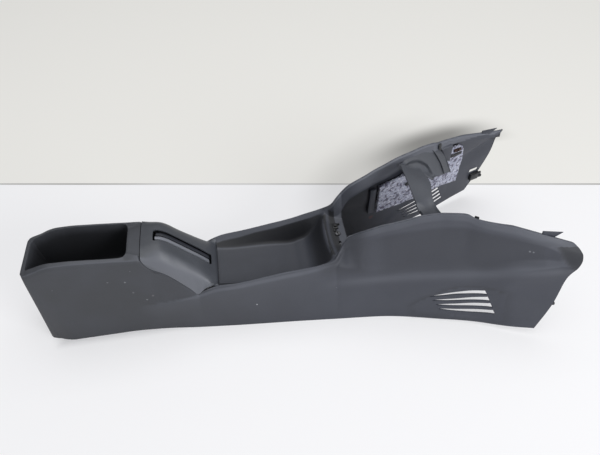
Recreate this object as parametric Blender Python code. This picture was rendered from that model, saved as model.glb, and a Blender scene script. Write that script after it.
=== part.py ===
"""Car center console: main moulding, brake slot trim, felt pads and small fixings.

Lengths below are in millimetres and are scaled to metres when a mesh is made.
x runs from the rear end to the front end, y across, z up from the resting plane.
The profile stations are counted from the rear edge of the bin opening (x = 0).
"""
import math

import bmesh
import bpy
import numpy as np
from mathutils import Vector

MM = 0.001
X_MIDDLE = 471.95

WALL = 2.5
TRIM_WALL = 2.5
TRIM_FOOT_Z = 96.0
TRIM_INSET = 3.4
TRIM_INSET_X = 300.0
TAB_STATIONS = (222.0, 256.0, 284.0)
TAB_HALF = 4.0
TAB_THICK = 3.5
TAB_RISE = 14.0
GAP = 0.3
SEAM_GAP = 0.5

BIN_FLOOR_Z = 112.0
REAR_WALL_LEAN = 0.044
REAR_CORNER_Y = 40.0
BIN_FRONT_X = 175.0
DECK_SEAM_X = 203.0
WELL_START_X = 331.0
SHIFTER_REAR_X = 586.0
SHELF_Z = 140.0
RIM_BOW = 8.0

SLOT_START_X = 227.0
SLOT_END_X = 321.0
SLOT_HALF = 13.75
SLOT_SHIFT = -1.75
SLOT_CORNER = 4.0

BAR_WALL = 3.2
BAR_CREST = 3.5
BAR_SINK = 4.0

FELT_THICK = 7.0
FELT_ROWS = 10
FELT_GAP = 1.25

VENT_COUNT = 4
VENT_REAR_X = 734.0
VENT_REAR_STEP = 5.3
VENT_FRONT_X = 824.0
VENT_FRONT_STEP = 6.0
VENT_REAR_Z = 60.5
VENT_REAR_PITCH = 10.5
VENT_FRONT_Z = 85.0
VENT_FRONT_PITCH = 14.8
VENT_REAR_HALF = 1.2
VENT_FRONT_HALF = 5.0

NOTCH_X = 905.0
NOTCH_LOW = 86.0
NOTCH_HIGH = 98.0
RIB_DEPTH = 9.5

SCREW_X = 570.0
SCREW_HOLE_R = 3.6
SCREW_SHANK_R = 2.4
SCREW_HEAD_R = 6.0

LIP_NEAR_INNER = -3.0
LIP_FAR_INNER = 6.5
LIP_RISE = -2.0
LIP_DEPTH = 5.0

CLIP_Z = 74.0
CLIP_DEPTH = 7.0
NUT_X = 836.0
NUT_Z = 211.0
PIN_X = 726.0
PIN_Z = 168.0
TOP_CLIP_X = 794.0
TOP_CLIP_HALF = 3.0
TOP_CLIP_THICK = 3.0

# Lower edge of the side wall: x, half width, height.
BOTTOM = [
    (-8, 42, 0), (6, 50.5, 0), (32, 57, 0), (140, 57, 0), (200, 60.5, 0),
    (278, 70.5, 0), (357, 79.5, 0), (477, 91, 0), (557, 99.5, 0), (640, 108.5, 0),
    (670, 114.5, 1), (707, 125.5, 3.5), (750, 138.5, 5.5), (780, 147.5, 7.2),
    (815, 160, 9.5), (850, 176, 12.6), (880, 188, 16), (910, 199, 20),
]

# Outer top edge: bin rim, then the trim seam, the well rim and the cheek crown.
CROWN = [
    (-8, 40, 192), (-4.5, 46.5, 193), (0, 48.5, 194), (20, 48.7, 200),
    (33, 49, 205.5), (50, 49.5, 208.5), (70, 49.5, 208.5), (102, 49.5, 206),
    (136, 49.5, 202.5), (170, 49.5, 198.5), (203, 49.5, 194.5), (208, 50, 179),
    (216, 51, 168), (228, 53, 161), (239, 54, 153), (254, 56, 137),
    (269, 58, 118), (280, 59.5, 104), (290, 60.5, 89), (298, 61, 97),
    (310, 61.5, 104), (331, 63.5, 112), (345, 65.5, 114.5), (371, 67, 116),
    (417, 67, 122), (448, 67, 127), (485, 68.5, 131.5), (523, 71, 138.5),
    (545, 71, 144), (552, 70, 147), (560, 64, 156), (570, 56, 172),
    (578, 56, 186), (590, 61, 196), (604, 65.5, 205), (620, 68, 212),
    (637, 70.5, 219), (655, 75, 226), (675, 78.5, 233), (701, 83, 243),
    (718, 86, 247), (735, 89.5, 250), (752, 95, 252), (765, 98.5, 252.5),
    (779, 102.5, 252), (790, 109, 246), (800, 114, 244.5), (811, 118.5, 243),
    (832, 125.5, 240.5), (850, 131, 239), (870, 136.5, 237), (898, 144, 232.5),
    (925, 151.5, 222), (949, 163, 213),
]

# Soft crease along the side wall that becomes the ridge of the cheek.
RIDGE_Z = [
    (-8, 62), (173, 73), (230, 72), (290, 66), (331, 75), (417, 85),
    (485, 95), (523, 112), (545, 128), (552, 133), (600, 118), (670, 108),
    (705, 112), (741, 118.5), (800, 126), (835, 137), (870, 151), (900, 162),
    (953, 176),
]
RIDGE_Y = [
    (552, 75), (600, 88), (640, 95.5), (670, 101.5), (705, 109), (741, 118),
    (770, 126), (800, 134.5), (835, 149), (870, 164.5), (900, 175), (953, 189.6),
]

# Rounding under the crown: x, then drop and outward step of two points.
SHOULDER = [
    (-8, 7, 2.0, 22, 2.6), (203, 7, 2.0, 22, 2.6), (216, 5, 0.7, 12, 1.6),
    (290, 4, 0.8, 10, 1.8), (331, 3, 1.8, 9, 3.6), (545, 3, 1.8, 9, 3.6),
    (570, 6, 3.0, 18, 6.0), (604, 10, 5.0, 26, 9.0), (752, 12, 5.0, 28, 8.0),
    (928, 11, 6.0, 25, 13.0),
]

# Inner edge of the rim: bin opening, deck, well, shifter opening, cheeks.
INNER = [
    (0, 34, 195), (2.5, 36.5, 196), (8, 37.4, 199), (20, 38.5, 203),
    (33, 39.8, 208), (50, 41.1, 211), (70, 42, 211), (102, 42.6, 209),
    (136, 43, 205.3), (166, 43, 202.3), (BIN_FRONT_X, 40.5, 201.7), (BIN_FRONT_X + 4, 34, 201.4),
    (DECK_SEAM_X, 43, 200), (331, 57, 105), (345, 59, 106), (371, 60.5, 107),
    (417, 61, 115), (448, 60.5, 118.5), (485, 62.5, 124), (523, 64.5, 130.5),
    (545, 65, 139.5), (552, 63.5, 145.5), (560, 57.5, 152), (570, 49, 167),
    (578, 49.5, 183), (586, 53.5, 190.5),
]
CROWN_LAND = 6.0
CROWN_LAND_DROP = 1.5

# Forward lean of the rear wall inside the bin, fading along the bin.
BIN_LEAN = [(2.5, 0.12), (8, 0.115), (20, 0.06), (33, 0.02), (50, 0.0), (166, 0.0), (BIN_FRONT_X, -0.03)]

# Well floor: x, half width, height.
FLOOR = [
    (331, 50, 95), (345, 50, 92), (371, 50, 89), (417, 50, 87), (448, 50, 84),
    (475, 50, 80.5), (485, 50.5, 81), (495, 51, 84), (511, 52, 89),
    (526, 54, 103), (538, 56, 117), (545, 57.5, 131), (552, 58, 143),
]

# Lower edge of the flange turned in from the cheek crown.
FLANGE = [
    (552, 55, 143), (560, 50, 142.5), (570, 44.5, 142), (578, 44, 145),
    (586, 47, 153), (594, 52, 164), (604, 56.5, 174), (620, 58.5, 182), (637, 60.5, 190),
    (655, 65.5, 196), (675, 69.5, 201), (701, 75, 212), (718, 78, 219),
    (735, 82, 225), (752, 87, 229), (765, 90.5, 231), (779, 94.5, 232),
    (790, 100.5, 231), (800, 105, 231), (811, 110, 230.5), (832, 117.5, 229),
    (850, 123.5, 227), (870, 129, 226), (898, 136.5, 222), (925, 144, 212),
]

# Front edge of a cheek, from the bottom corner up to the flange.
FRONT_EDGE = [
    (910, 199, 20), (932, 193.5, 82), (945, 184.5, 142), (954, 190, 175),
    (960, 186.5, 189), (960, 180, 201), (956, 172, 207), (949, 163, 213),
    (946, 158, 212), (943, 153, 203),
]

# Top line of the brake slot trim along the middle.
TRIM_TOP = [
    (203, 203.5), (216, 205.5), (228, 206.5), (238, 205), (248, 199),
    (263, 184), (287, 158), (303, 140.5), (320, 120), (328, 110), (333, 106),
]
# Shoulder of the trim: x, half width, drop below the middle.
TRIM_SHOULDER = [
    (203, 44, 3), (208, 47, 7.5), (216, 48, 12.5), (228, 48.5, 17), (248, 49, 21.5),
    (263, 49, 22.5), (287, 50, 19.5), (303, 50, 15), (320, 50, 8.5), (333, 50, 3),
]

# Felt pad on the inner face of a cheek: x, lower edge, upper edge.
FELT_EDGES = [
    (668, 94, 178), (690, 98, 184), (705, 98, 188), (720, 98, 194), (735, 99, 200),
    (752, 100, 206), (765, 103, 211), (779, 106, 215), (790, 108, 217), (800, 108, 218),
    (811, 107, 219), (826, 104, 220), (840, 99, 220), (850, 96, 218),
    (855, 95, 204), (859, 95, 178), (862, 96, 150),
]

# Lighter panel and neck where the crossbar meets the cheek: rear and front edges.
BAR_FRONT = [
    (0, 742, 246), (30, 736, 246), (46, 735, 241), (55, 746, 222),
    (62, 768, 199), (75, 785, 187), (90, 805, 176), (107, 826, 165),
]
BAR_REAR = [
    (0, 700, 252), (45, 700, 251), (60, 704, 246), (69, 708, 238),
    (77, 714, 236), (84.8, 733, 244.5), (94, 765, 247), (104.3, 790, 240.5),
]

STATIONS = [
    -4.5, 0, 2.5, 8, 20, 33, 50, 70, 102, 136, 166, BIN_FRONT_X, BIN_FRONT_X + 4, DECK_SEAM_X,
    208, 216, 228, 239, 254, 269, 280, 290, 298, 310, WELL_START_X,
    345, 371, 400, 430, 460, 485, 495, 511, 526, 538, 545, 552,
    560, 570, 578, 586, 594, 604, 620, 637, 655, 675, 701, 718, 735, 752,
    765, 779, 790, 800, 811, 832, 850,
]
BLEND = [0.33, 0.66, 1.0]


def track(table, x, column=1):
    """Smooth value of one column of a profile at x."""
    xs = [row[0] for row in table]
    ys = [row[column] for row in table]
    if x <= xs[0]:
        return ys[0]
    if x >= xs[-1]:
        return ys[-1]
    slopes = [(ys[i + 1] - ys[i]) / (xs[i + 1] - xs[i]) for i in range(len(xs) - 1)]
    tangents = [slopes[0]]
    for before, after in zip(slopes[:-1], slopes[1:]):
        if before * after <= 0:
            tangents.append(0.0)
        else:
            tangents.append(2 * before * after / (before + after))
    tangents.append(slopes[-1])
    i = max(k for k in range(len(xs) - 1) if xs[k] <= x)
    span = xs[i + 1] - xs[i]
    t = (x - xs[i]) / span
    h00 = 2 * t ** 3 - 3 * t ** 2 + 1
    h10 = t ** 3 - 2 * t ** 2 + t
    h01 = -2 * t ** 3 + 3 * t ** 2
    h11 = t ** 3 - t ** 2
    return h00 * ys[i] + h10 * span * tangents[i] + h01 * ys[i + 1] + h11 * span * tangents[i + 1]


def mix(a, b, t):
    """Point between a and b."""
    return tuple(p + (q - p) * t for p, q in zip(a, b))


def outer_rows(x):
    """Rows 0 to 7 of the side wall at a station, as (x, y, z)."""
    foot = (x, track(BOTTOM, x, 1), track(BOTTOM, x, 2))
    crown = (x, track(CROWN, x, 1), track(CROWN, x, 2))
    drop6, out6, drop5, out5 = (track(SHOULDER, x, column) for column in (1, 2, 3, 4))
    row6 = (x, crown[1] + out6, crown[2] - drop6)
    row5 = (x, crown[1] + out5, crown[2] - drop5)
    ridge_z = min(track(RIDGE_Z, x), crown[2] - drop5 - 8)
    if x < 552:
        share = (ridge_z - foot[2]) / (row5[2] - foot[2])
        ridge_y = foot[1] + (row5[1] - foot[1]) * share + 0.8
    else:
        ridge_y = track(RIDGE_Y, x)
    ridge = (x, ridge_y, ridge_z)
    hollow = 1.5 if x > 600 else 0.0
    row4 = mix(ridge, row5, 0.5)
    row4 = (x, row4[1] - hollow, row4[2])
    row1 = mix(foot, ridge, 0.33)
    row2 = mix(foot, ridge, 0.7)
    return [foot, row1, row2, ridge, row4, row5, row6, crown]


def rim_row(x):
    """Row 8, the inner edge of the rim."""
    if x <= SHIFTER_REAR_X:
        return (x, track(INNER, x, 1), track(INNER, x, 2))
    return (x, track(CROWN, x, 1) - CROWN_LAND, track(CROWN, x, 2) - CROWN_LAND_DROP)


def bin_rows(x):
    """Rows 9 to 13 inside the bin."""
    rim = rim_row(x)
    depth = rim[2] - BIN_FLOOR_Z
    lean = track(BIN_LEAN, x)
    upper = (x + lean * 20, rim[1] - 1, rim[2] - 20)
    lower = (x + lean * depth, rim[1] - 3, BIN_FLOOR_Z + 7)
    edge = (x + lean * depth * 1.3, rim[1] - 9, BIN_FLOOR_Z)
    half = (edge[0], rim[1] * 0.45, BIN_FLOOR_Z)
    middle = (edge[0], 0.0, BIN_FLOOR_Z)
    return [upper, lower, edge, half, middle]


def deck_rows(x):
    """Rows 9 to 13 across the deck between the bin and the trim."""
    rim = rim_row(x)
    top = track([(BIN_FRONT_X + 4, 201.5), (DECK_SEAM_X, 201)], x)
    rows = []
    for share, lift in ((0.86, 0.4), (0.66, 1.0), (0.44, 1.6), (0.22, 1.9), (0.0, 2.0)):
        rows.append((x, rim[1] * share, top + lift - (1.0 if share > 0.8 else 0.0)))
    return rows


def rear_edge_rows(x, z):
    """Rows 9 to 13 along the straight rear edge of the bin opening."""
    return [(x, y, z) for y in (30.0, 23.0, 15.0, 8.0, 0.0)]


def well_rows(x):
    """Rows 9 to 13 of the well between the rims."""
    rim = rim_row(x)
    half = track(FLOOR, x, 1)
    floor = track(FLOOR, x, 2)
    low = (x, half, min(floor + 6, (floor + rim[2]) / 2))
    upper = mix(rim, low, 0.5)
    edge = (x, half - 6, floor + 0.6)
    rows = [upper, low, edge, (x, half * 0.45, floor - 0.8), (x, 0.0, floor - 1.2)]
    share = min(1.0, max(0.0, (x - 526) / 26))
    return [(p[0] - RIM_BOW * share * (1 - (p[1] / 60) ** 2), p[1], p[2]) for p in rows]


def shelf_rows(x):
    """Rows 9 to 13 of the flange in front of the well's front wall."""
    edge = (x, track(FLANGE, x, 1), track(FLANGE, x, 2))
    rows = [edge]
    for half, rise in ((39.0, 1.2), (31.0, 0.0), (18.0, 0.0), (0.0, 0.0)):
        bow = RIM_BOW * 0.4 if x < 565 else 0.0
        rows.append((x - bow * (1 - (half / 60) ** 2), half, SHELF_Z + rise))
    return rows


def rear_cap_rows():
    """Rows 0 to 13 of the rear wall, leaning back toward the bottom."""
    rows = []
    for row in outer_rows(-8):
        rows.append((-8.5 - REAR_WALL_LEAN * (192 - row[2]), REAR_CORNER_Y, row[2]))
    rows.append((-8.0, 36.0, 193.2))
    rows += [(-8.0, y, 193.5) for y in (30.0, 23.0, 15.0, 8.0, 0.0)]
    return rows


def section(x):
    """All rows that exist at a station; None marks an opening."""
    rows = outer_rows(x)
    if x < 0:
        corner = [(p[0] - REAR_WALL_LEAN * (192 - p[2]), p[1], p[2]) for p in rows]
        return corner + [(x, 38.0, 194.2)] + rear_edge_rows(x, 194.4)
    if x == 0:
        corner = [(p[0] - REAR_WALL_LEAN * 0.5 * (192 - p[2]), p[1], p[2]) for p in rows]
        return corner + [rim_row(x)] + rear_edge_rows(x, 195.0)
    if x <= BIN_FRONT_X:
        return rows + [rim_row(x)] + bin_rows(x)
    if x <= DECK_SEAM_X:
        return rows + [rim_row(x)] + deck_rows(x)
    if x < WELL_START_X:
        return rows + [None] * 6
    if x < 560:
        return rows + [rim_row(x)] + well_rows(x)
    if x <= SHIFTER_REAR_X:
        return rows + [rim_row(x)] + shelf_rows(x)
    edge = (x, track(FLANGE, x, 1), track(FLANGE, x, 2))
    return rows + [rim_row(x), edge] + [None] * 4


def front_sections():
    """Sections that run from the last station to the slanted front edge."""
    last = section(STATIONS[-1])
    result = []
    for share in BLEND:
        rows = []
        for index in range(10):
            start, end = last[index], FRONT_EDGE[index]
            x = start[0] + (end[0] - start[0]) * share
            point = mix(start, end, share)
            if index == 0:
                point = (x, track(BOTTOM, x, 1), track(BOTTOM, x, 2))
            if index == 3:
                point = (x, track(RIDGE_Y, x), track(RIDGE_Z, x))
            if share == 1.0:
                point = end
            rows.append(point)
        result.append(rows + [None] * 4)
    return result


def new_object(name, mesh_data, color, roughness=0.6):
    """Object with its own material from a finished bmesh."""
    mesh = bpy.data.meshes.new(name)
    mesh_data.to_mesh(mesh)
    mesh_data.free()
    obj = bpy.data.objects.new(name, mesh)
    bpy.context.scene.collection.objects.link(obj)
    paint(obj, color, roughness)
    return obj


def paint(obj, color, roughness):
    """Give an object a Principled material of its own."""
    material = bpy.data.materials.new(obj.name + "_material")
    material.use_nodes = True
    shader = material.node_tree.nodes["Principled BSDF"]
    shader.inputs["Base Color"].default_value = (*color, 1.0)
    shader.inputs["Roughness"].default_value = roughness
    obj.data.materials.clear()
    obj.data.materials.append(material)


def place(point, side=1):
    """Blender vector in metres for a station point on one side."""
    return Vector(((point[0] - X_MIDDLE) * MM, point[1] * side * MM, point[2] * MM))


def loft(columns, mirror=True):
    """Sheet through columns of points; None entries leave openings."""
    sheet = bmesh.new()
    sides = (-1, 1) if mirror else (1,)
    grids = []
    for side in sides:
        grid = []
        for column in columns:
            grid.append([None if p is None else sheet.verts.new(place(p, side)) for p in column])
        grids.append(grid)
    for grid, side in zip(grids, sides):
        for before, after in zip(grid[:-1], grid[1:]):
            for row in range(len(before) - 1):
                corners = [before[row], after[row], after[row + 1], before[row + 1]]
                if None in corners:
                    continue
                if side < 0:
                    corners.reverse()
                sheet.faces.new(corners)
    return sheet, grids


def close_rear(sheet, grids):
    """Rear wall between the two sides of the first column."""
    left, right = grids[0][0], grids[1][0]
    for row in range(7):
        sheet.faces.new([left[row], left[row + 1], right[row + 1], right[row]])
    top = left[7:13] + list(reversed(right[7:14]))
    sheet.faces.new(top)


def thicken(sheet, thickness):
    """Close a sheet into a wall of even thickness behind its visible side."""
    bmesh.ops.triangulate(sheet, faces=sheet.faces)
    sheet.normal_update()
    faces = list(sheet.faces)
    edges = [edge for edge in sheet.edges if len(edge.link_faces) == 1]
    inner = {}
    for vert in list(sheet.verts):
        normal = Vector((0.0, 0.0, 0.0))
        for loop in vert.link_loops:
            normal += loop.face.normal * loop.calc_angle()
        normal.normalize()
        least = min(normal.dot(face.normal) for face in vert.link_faces)
        reach = thickness * MM / max(0.72, least)
        inner[vert] = sheet.verts.new(vert.co - normal * reach)
    for face in faces:
        sheet.faces.new([inner[vert] for vert in reversed(face.verts)])
    for edge in edges:
        loop = edge.link_loops[0]
        start, end = loop.vert, loop.link_loop_next.vert
        sheet.faces.new([end, start, inner[start], inner[end]])
    return inner


def hold_back(inner, verts, axis, sign):
    """Keep the hidden side of border points from passing the border along an axis."""
    for vert in verts:
        if vert.is_valid:
            hidden = inner[vert].co
            if (hidden[axis] - vert.co[axis]) * sign < 0:
                hidden[axis] = vert.co[axis]


def face_up(sheet):
    """Turn all faces of a sheet so that its flat top faces up."""
    bmesh.ops.recalc_face_normals(sheet, faces=sheet.faces)
    sheet.normal_update()
    flat = max(sheet.faces, key=lambda face: abs(face.normal.z) * face.calc_area())
    if flat.normal.z < 0:
        bmesh.ops.reverse_faces(sheet, faces=sheet.faces)


def settle(obj):
    """Turn the modifiers of an object into its mesh."""
    graph = bpy.context.evaluated_depsgraph_get()
    mesh = bpy.data.meshes.new_from_object(obj.evaluated_get(graph))
    obj.modifiers.clear()
    obj.data = mesh


def drop(*objects):
    """Remove helper objects."""
    for obj in objects:
        bpy.data.objects.remove(obj)


def boolean(obj, other, operation):
    """Join or cut with the exact solver, then remove the helper."""
    step = obj.modifiers.new("step", "BOOLEAN")
    step.operation = operation
    step.object = other
    step.solver = "EXACT"
    step.use_self = operation == "UNION"
    settle(obj)
    drop(other)


def block(name, corners, color=(0.2, 0.2, 0.2)):
    """Closed block from eight station points: four below, then four above."""
    body = bmesh.new()
    verts = [body.verts.new(place(p)) for p in corners]
    for face in ((3, 2, 1, 0), (4, 5, 6, 7), (0, 1, 5, 4), (1, 2, 6, 5), (2, 3, 7, 6), (3, 0, 4, 7)):
        body.faces.new([verts[i] for i in face])
    bmesh.ops.recalc_face_normals(body, faces=body.faces)
    bmesh.ops.triangulate(body, faces=body.faces)
    return new_object(name, body, color)


def box(name, x0, x1, y0, y1, z0, z1, color=(0.2, 0.2, 0.2)):
    """Straight block between two corners."""
    low = [(x0, y0, z0), (x1, y0, z0), (x1, y1, z0), (x0, y1, z0)]
    high = [(p[0], p[1], z1) for p in low]
    return block(name, low + high, color)


def prism(name, outline, low, high, color=(0.2, 0.2, 0.2)):
    """Upright prism over an outline of (x, y) points."""
    body = bmesh.new()
    base = [body.verts.new(place((x, y, low))) for x, y in outline]
    top = [body.verts.new(place((x, y, high))) for x, y in outline]
    body.faces.new(list(reversed(base)))
    body.faces.new(top)
    count = len(outline)
    for i in range(count):
        j = (i + 1) % count
        body.faces.new([base[i], base[j], top[j], top[i]])
    bmesh.ops.recalc_face_normals(body, faces=body.faces)
    return new_object(name, body, color)


def rounded(x0, x1, y0, y1, radius, steps=3):
    """Rounded rectangle as (x, y) points."""
    points = []
    corners = ((x1 - radius, y1 - radius, 0), (x0 + radius, y1 - radius, 90),
               (x0 + radius, y0 + radius, 180), (x1 - radius, y0 + radius, 270))
    for cx, cy, start in corners:
        for i in range(steps + 1):
            angle = math.radians(start + 90 * i / steps)
            points.append((cx + radius * math.cos(angle), cy + radius * math.sin(angle)))
    return points


def tube(name, start, end, radius, sides, color, radius_end=None):
    """Closed round bar between two station points."""
    body = bmesh.new()
    a, b = place(start), place(end)
    axis = (b - a).normalized()
    across = axis.orthogonal().normalized()
    other = axis.cross(across)
    rings = []
    for centre, size in ((a, radius), (b, radius_end or radius)):
        ring = []
        for i in range(sides):
            angle = 2 * math.pi * i / sides
            direction = across * math.cos(angle) + other * math.sin(angle)
            ring.append(body.verts.new(centre + direction * size * MM))
        rings.append(ring)
    body.faces.new(list(reversed(rings[0])))
    body.faces.new(rings[1])
    for i in range(sides):
        j = (i + 1) % sides
        body.faces.new([rings[0][i], rings[0][j], rings[1][j], rings[1][i]])
    bmesh.ops.recalc_face_normals(body, faces=body.faces)
    return new_object(name, body, color)


def side_y(x, z):
    """Half width of the outer side wall at a station and height."""
    if x <= STATIONS[-1]:
        rows = outer_rows(x)
    else:
        rows = []
        columns = [section(STATIONS[-1])] + front_sections()
        for index in range(8):
            line = [column[index] for column in columns]
            rows.append([float(np.interp(x, [p[0] for p in line], [p[k] for p in line])) for k in range(3)])
    return float(np.interp(z, [p[2] for p in rows], [p[1] for p in rows]))


def wall_slant(x, z):
    """Outward direction (x, y, z) of the side wall at a point."""
    along = (side_y(x + 6, z) - side_y(x - 6, z)) / 12
    up = (side_y(x, z + 8) - side_y(x, z - 8)) / 16
    normal = Vector((-along, 1.0, -up))
    return normal.normalized()


def off_wall(x, z, depth, side):
    """Point at a depth behind the outer face of a side wall."""
    y = side_y(x, z)
    normal = wall_slant(x, z)
    return (x - normal[0] * depth, (y - normal[1] * depth) * side, z - normal[2] * depth)


def crossbar():
    """Arched bar between the cheeks with a flared foot at each end."""
    columns = []
    for (rear_y, rear_x, rear_z), (front_y, front_x, front_z) in zip(BAR_REAR, BAR_FRONT):
        rear = (rear_x, rear_y, rear_z)
        front = (front_x, front_y, front_z)
        flare = min(1.0, rear_y / 80)
        crest = mix(rear, front, 0.62)
        crest = (crest[0], crest[1] - BAR_SINK * flare, crest[2] + BAR_CREST * (1 - flare) - BAR_SINK * flare)
        inner = mix(rear, crest, 0.25)
        columns.append([rear, inner, crest, front])
    sheet, grids = loft(columns)
    bmesh.ops.remove_doubles(sheet, verts=sheet.verts, dist=0.01 * MM)
    face_up(sheet)
    thicken(sheet, BAR_WALL)
    return new_object("crossbar", sheet, (0.2, 0.2, 0.2))


def vent_cutters():
    """Four tapered slots through each cheek."""
    cutters = []
    for side in (-1, 1):
        for index in range(VENT_COUNT):
            rear_x = VENT_REAR_X + VENT_REAR_STEP * index
            front_x = VENT_FRONT_X + VENT_FRONT_STEP * index
            rear_z = VENT_REAR_Z - VENT_REAR_PITCH * index
            front_z = VENT_FRONT_Z - VENT_FRONT_PITCH * index
            low, high = [], []
            for depth, ring in ((14.0, low), (-14.0, high)):
                for x, z in ((rear_x, rear_z - VENT_REAR_HALF), (front_x + 2, front_z - VENT_FRONT_HALF),
                             (front_x - 2, front_z + VENT_FRONT_HALF), (rear_x, rear_z + VENT_REAR_HALF)):
                    y = side_y(x, z)
                    ring.append((x, (y - depth) * side, z))
            cutters.append(block("cutter", low + high))
    return cutters


def console_body():
    """Main moulding with all its openings."""
    columns = [rear_cap_rows()] + [section(x) for x in STATIONS] + front_sections()
    sheet, grids = loft(columns)
    close_rear(sheet, grids)
    bmesh.ops.remove_doubles(sheet, verts=sheet.verts, dist=0.01 * MM)
    face_up(sheet)
    inner = thicken(sheet, WALL)
    deck_end = 1 + STATIONS.index(DECK_SEAM_X)
    well_start = 1 + STATIONS.index(WELL_START_X)
    for grid in grids:
        hold_back(inner, [column[0] for column in grid], 2, 1)
        hold_back(inner, grid[deck_end][8:], 0, -1)
        hold_back(inner, grid[well_start][8:], 0, 1)
    body = new_object("console_body", sheet, (0.045, 0.048, 0.052), 0.55)
    boolean(body, crossbar(), "UNION")
    for cutter in vent_cutters():
        boolean(body, cutter, "DIFFERENCE")
    notch = box("cutter", NOTCH_X, 928, 160, 215, NOTCH_LOW, NOTCH_HIGH)
    boolean(body, notch, "DIFFERENCE")
    for side in (-1, 1):
        rib = [off_wall(x, z, RIB_DEPTH, side) for x, z in ((650, 92), (663, 92), (663, 170), (650, 170))]
        rib += [off_wall(x, z, WALL / 2, side) for x, z in ((650, 92), (663, 92), (663, 170), (650, 170))]
        boolean(body, block("rib", rib), "UNION")
        fin = [(896, 143 * side, 222), (916, 147 * side, 219), (916, 150.5 * side, 219), (896, 146.5 * side, 222)]
        fin += [(896, 142 * side, 232), (933, 149 * side, 230), (933, 151 * side, 230), (896, 145 * side, 232)]
        boolean(body, block("fin", fin), "UNION")
    hole = tube("cutter", (SCREW_X, 0, 120), (SCREW_X, 0, 160), SCREW_HOLE_R, 16, (0, 0, 0))
    boolean(body, hole, "DIFFERENCE")
    for side in (-1, 1):
        keyhole = box("cutter", SCREW_X - 2, SCREW_X + 3, 19 * side, 26 * side, 120, 160)
        boolean(body, keyhole, "DIFFERENCE")
    return body


def trim_rows(x):
    """Half section of the brake slot trim, from the middle to the seam."""
    top = track(TRIM_TOP, x)
    half, drop = track(TRIM_SHOULDER, x, 1), track(TRIM_SHOULDER, x, 2)
    inset = TRIM_INSET if x > TRIM_INSET_X else 0.0
    seam = (x, track(CROWN, x, 1) - inset, track(CROWN, x, 2) + SEAM_GAP)
    shoulder = (x, half, top - drop)
    lower = mix(shoulder, seam, 0.5)
    lower = (x, lower[1] + 1.0, lower[2])
    return [(x, 0.0, top), (x, 16.0, top - 0.5), (x, half * 0.56, top - drop * 0.1),
            (x, half * 0.79, top - drop * 0.4), shoulder, lower, seam]


def brake_trim():
    """Saddle insert with the slot for the brake lever."""
    first = DECK_SEAM_X + GAP
    last = WELL_START_X - GAP
    stations = [first, 208, 216, 228, 239, 254, 269, 280, 290, 298, 304, 311, 320, last - 1.5]
    columns = [trim_rows(x) for x in stations]
    end = []
    for row, point in enumerate(trim_rows(last)):
        z = TRIM_FOOT_Z if row < 5 else point[2] - (3.0 if row == 5 else 0.0)
        end.append((last, point[1], min(point[2], z)))
    columns.append(end)
    sheet, grids = loft(columns)
    bmesh.ops.remove_doubles(sheet, verts=sheet.verts, dist=0.01 * MM)
    face_up(sheet)
    inner = thicken(sheet, TRIM_WALL)
    for grid in grids:
        hold_back(inner, grid[0], 0, 1)
        hold_back(inner, grid[-1], 0, -1)
        for x, column in zip(stations + [last], grid):
            seam, hidden = column[-1].co, inner[column[-1]].co
            if abs(hidden.y) > abs(seam.y):
                hidden.y = seam.y
            if x < 305:
                seam_z = track(CROWN, hidden.x / MM + X_MIDDLE, 2) + SEAM_GAP
                hidden.z = max(hidden.z, seam_z * MM)
    trim = new_object("brake_trim", sheet, (0.05, 0.053, 0.057), 0.5)
    slot = prism("cutter", rounded(SLOT_START_X, SLOT_END_X, SLOT_SHIFT - SLOT_HALF, SLOT_SHIFT + SLOT_HALF, SLOT_CORNER), 90, 215)
    boolean(trim, slot, "DIFFERENCE")
    for side in (-1, 1):
        for x in TAB_STATIONS:
            low, high = [], []
            for end, depth in ((-1, TAB_THICK), (1, TAB_THICK), (1, 0.0), (-1, 0.0)):
                at = x + end * TAB_HALF
                y = (track(CROWN, at, 1) - WALL - 2 * GAP - depth) * side
                z = track(CROWN, at, 2)
                low.append((at, y, z - 11))
                high.append((at, y, z + TAB_RISE + depth))
            boolean(trim, block("tab", low + high), "UNION")
    return trim


def slot_lip(name, edges, rise):
    """Bar that closes one side of the brake slot."""
    bar = bmesh.new()
    rings = []
    for x in (SLOT_START_X + SLOT_CORNER, 238, 248, 263, 287, 303, SLOT_END_X - SLOT_CORNER):
        top = track(TRIM_TOP, x) + rise
        ring = [(x, edges[0], top - LIP_DEPTH), (x, edges[1], top - LIP_DEPTH),
                (x, edges[1], top - 0.8), (x, (edges[0] + edges[1]) / 2, top), (x, edges[0], top - 0.8)]
        rings.append([bar.verts.new(place(p)) for p in ring])
    bar.faces.new(list(reversed(rings[0])))
    bar.faces.new(rings[-1])
    for before, after in zip(rings[:-1], rings[1:]):
        for i in range(5):
            j = (i + 1) % 5
            bar.faces.new([before[i], before[j], after[j], after[i]])
    bmesh.ops.recalc_face_normals(bar, faces=bar.faces)
    return new_object(name, bar, (0.06, 0.062, 0.068), 0.4)


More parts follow.
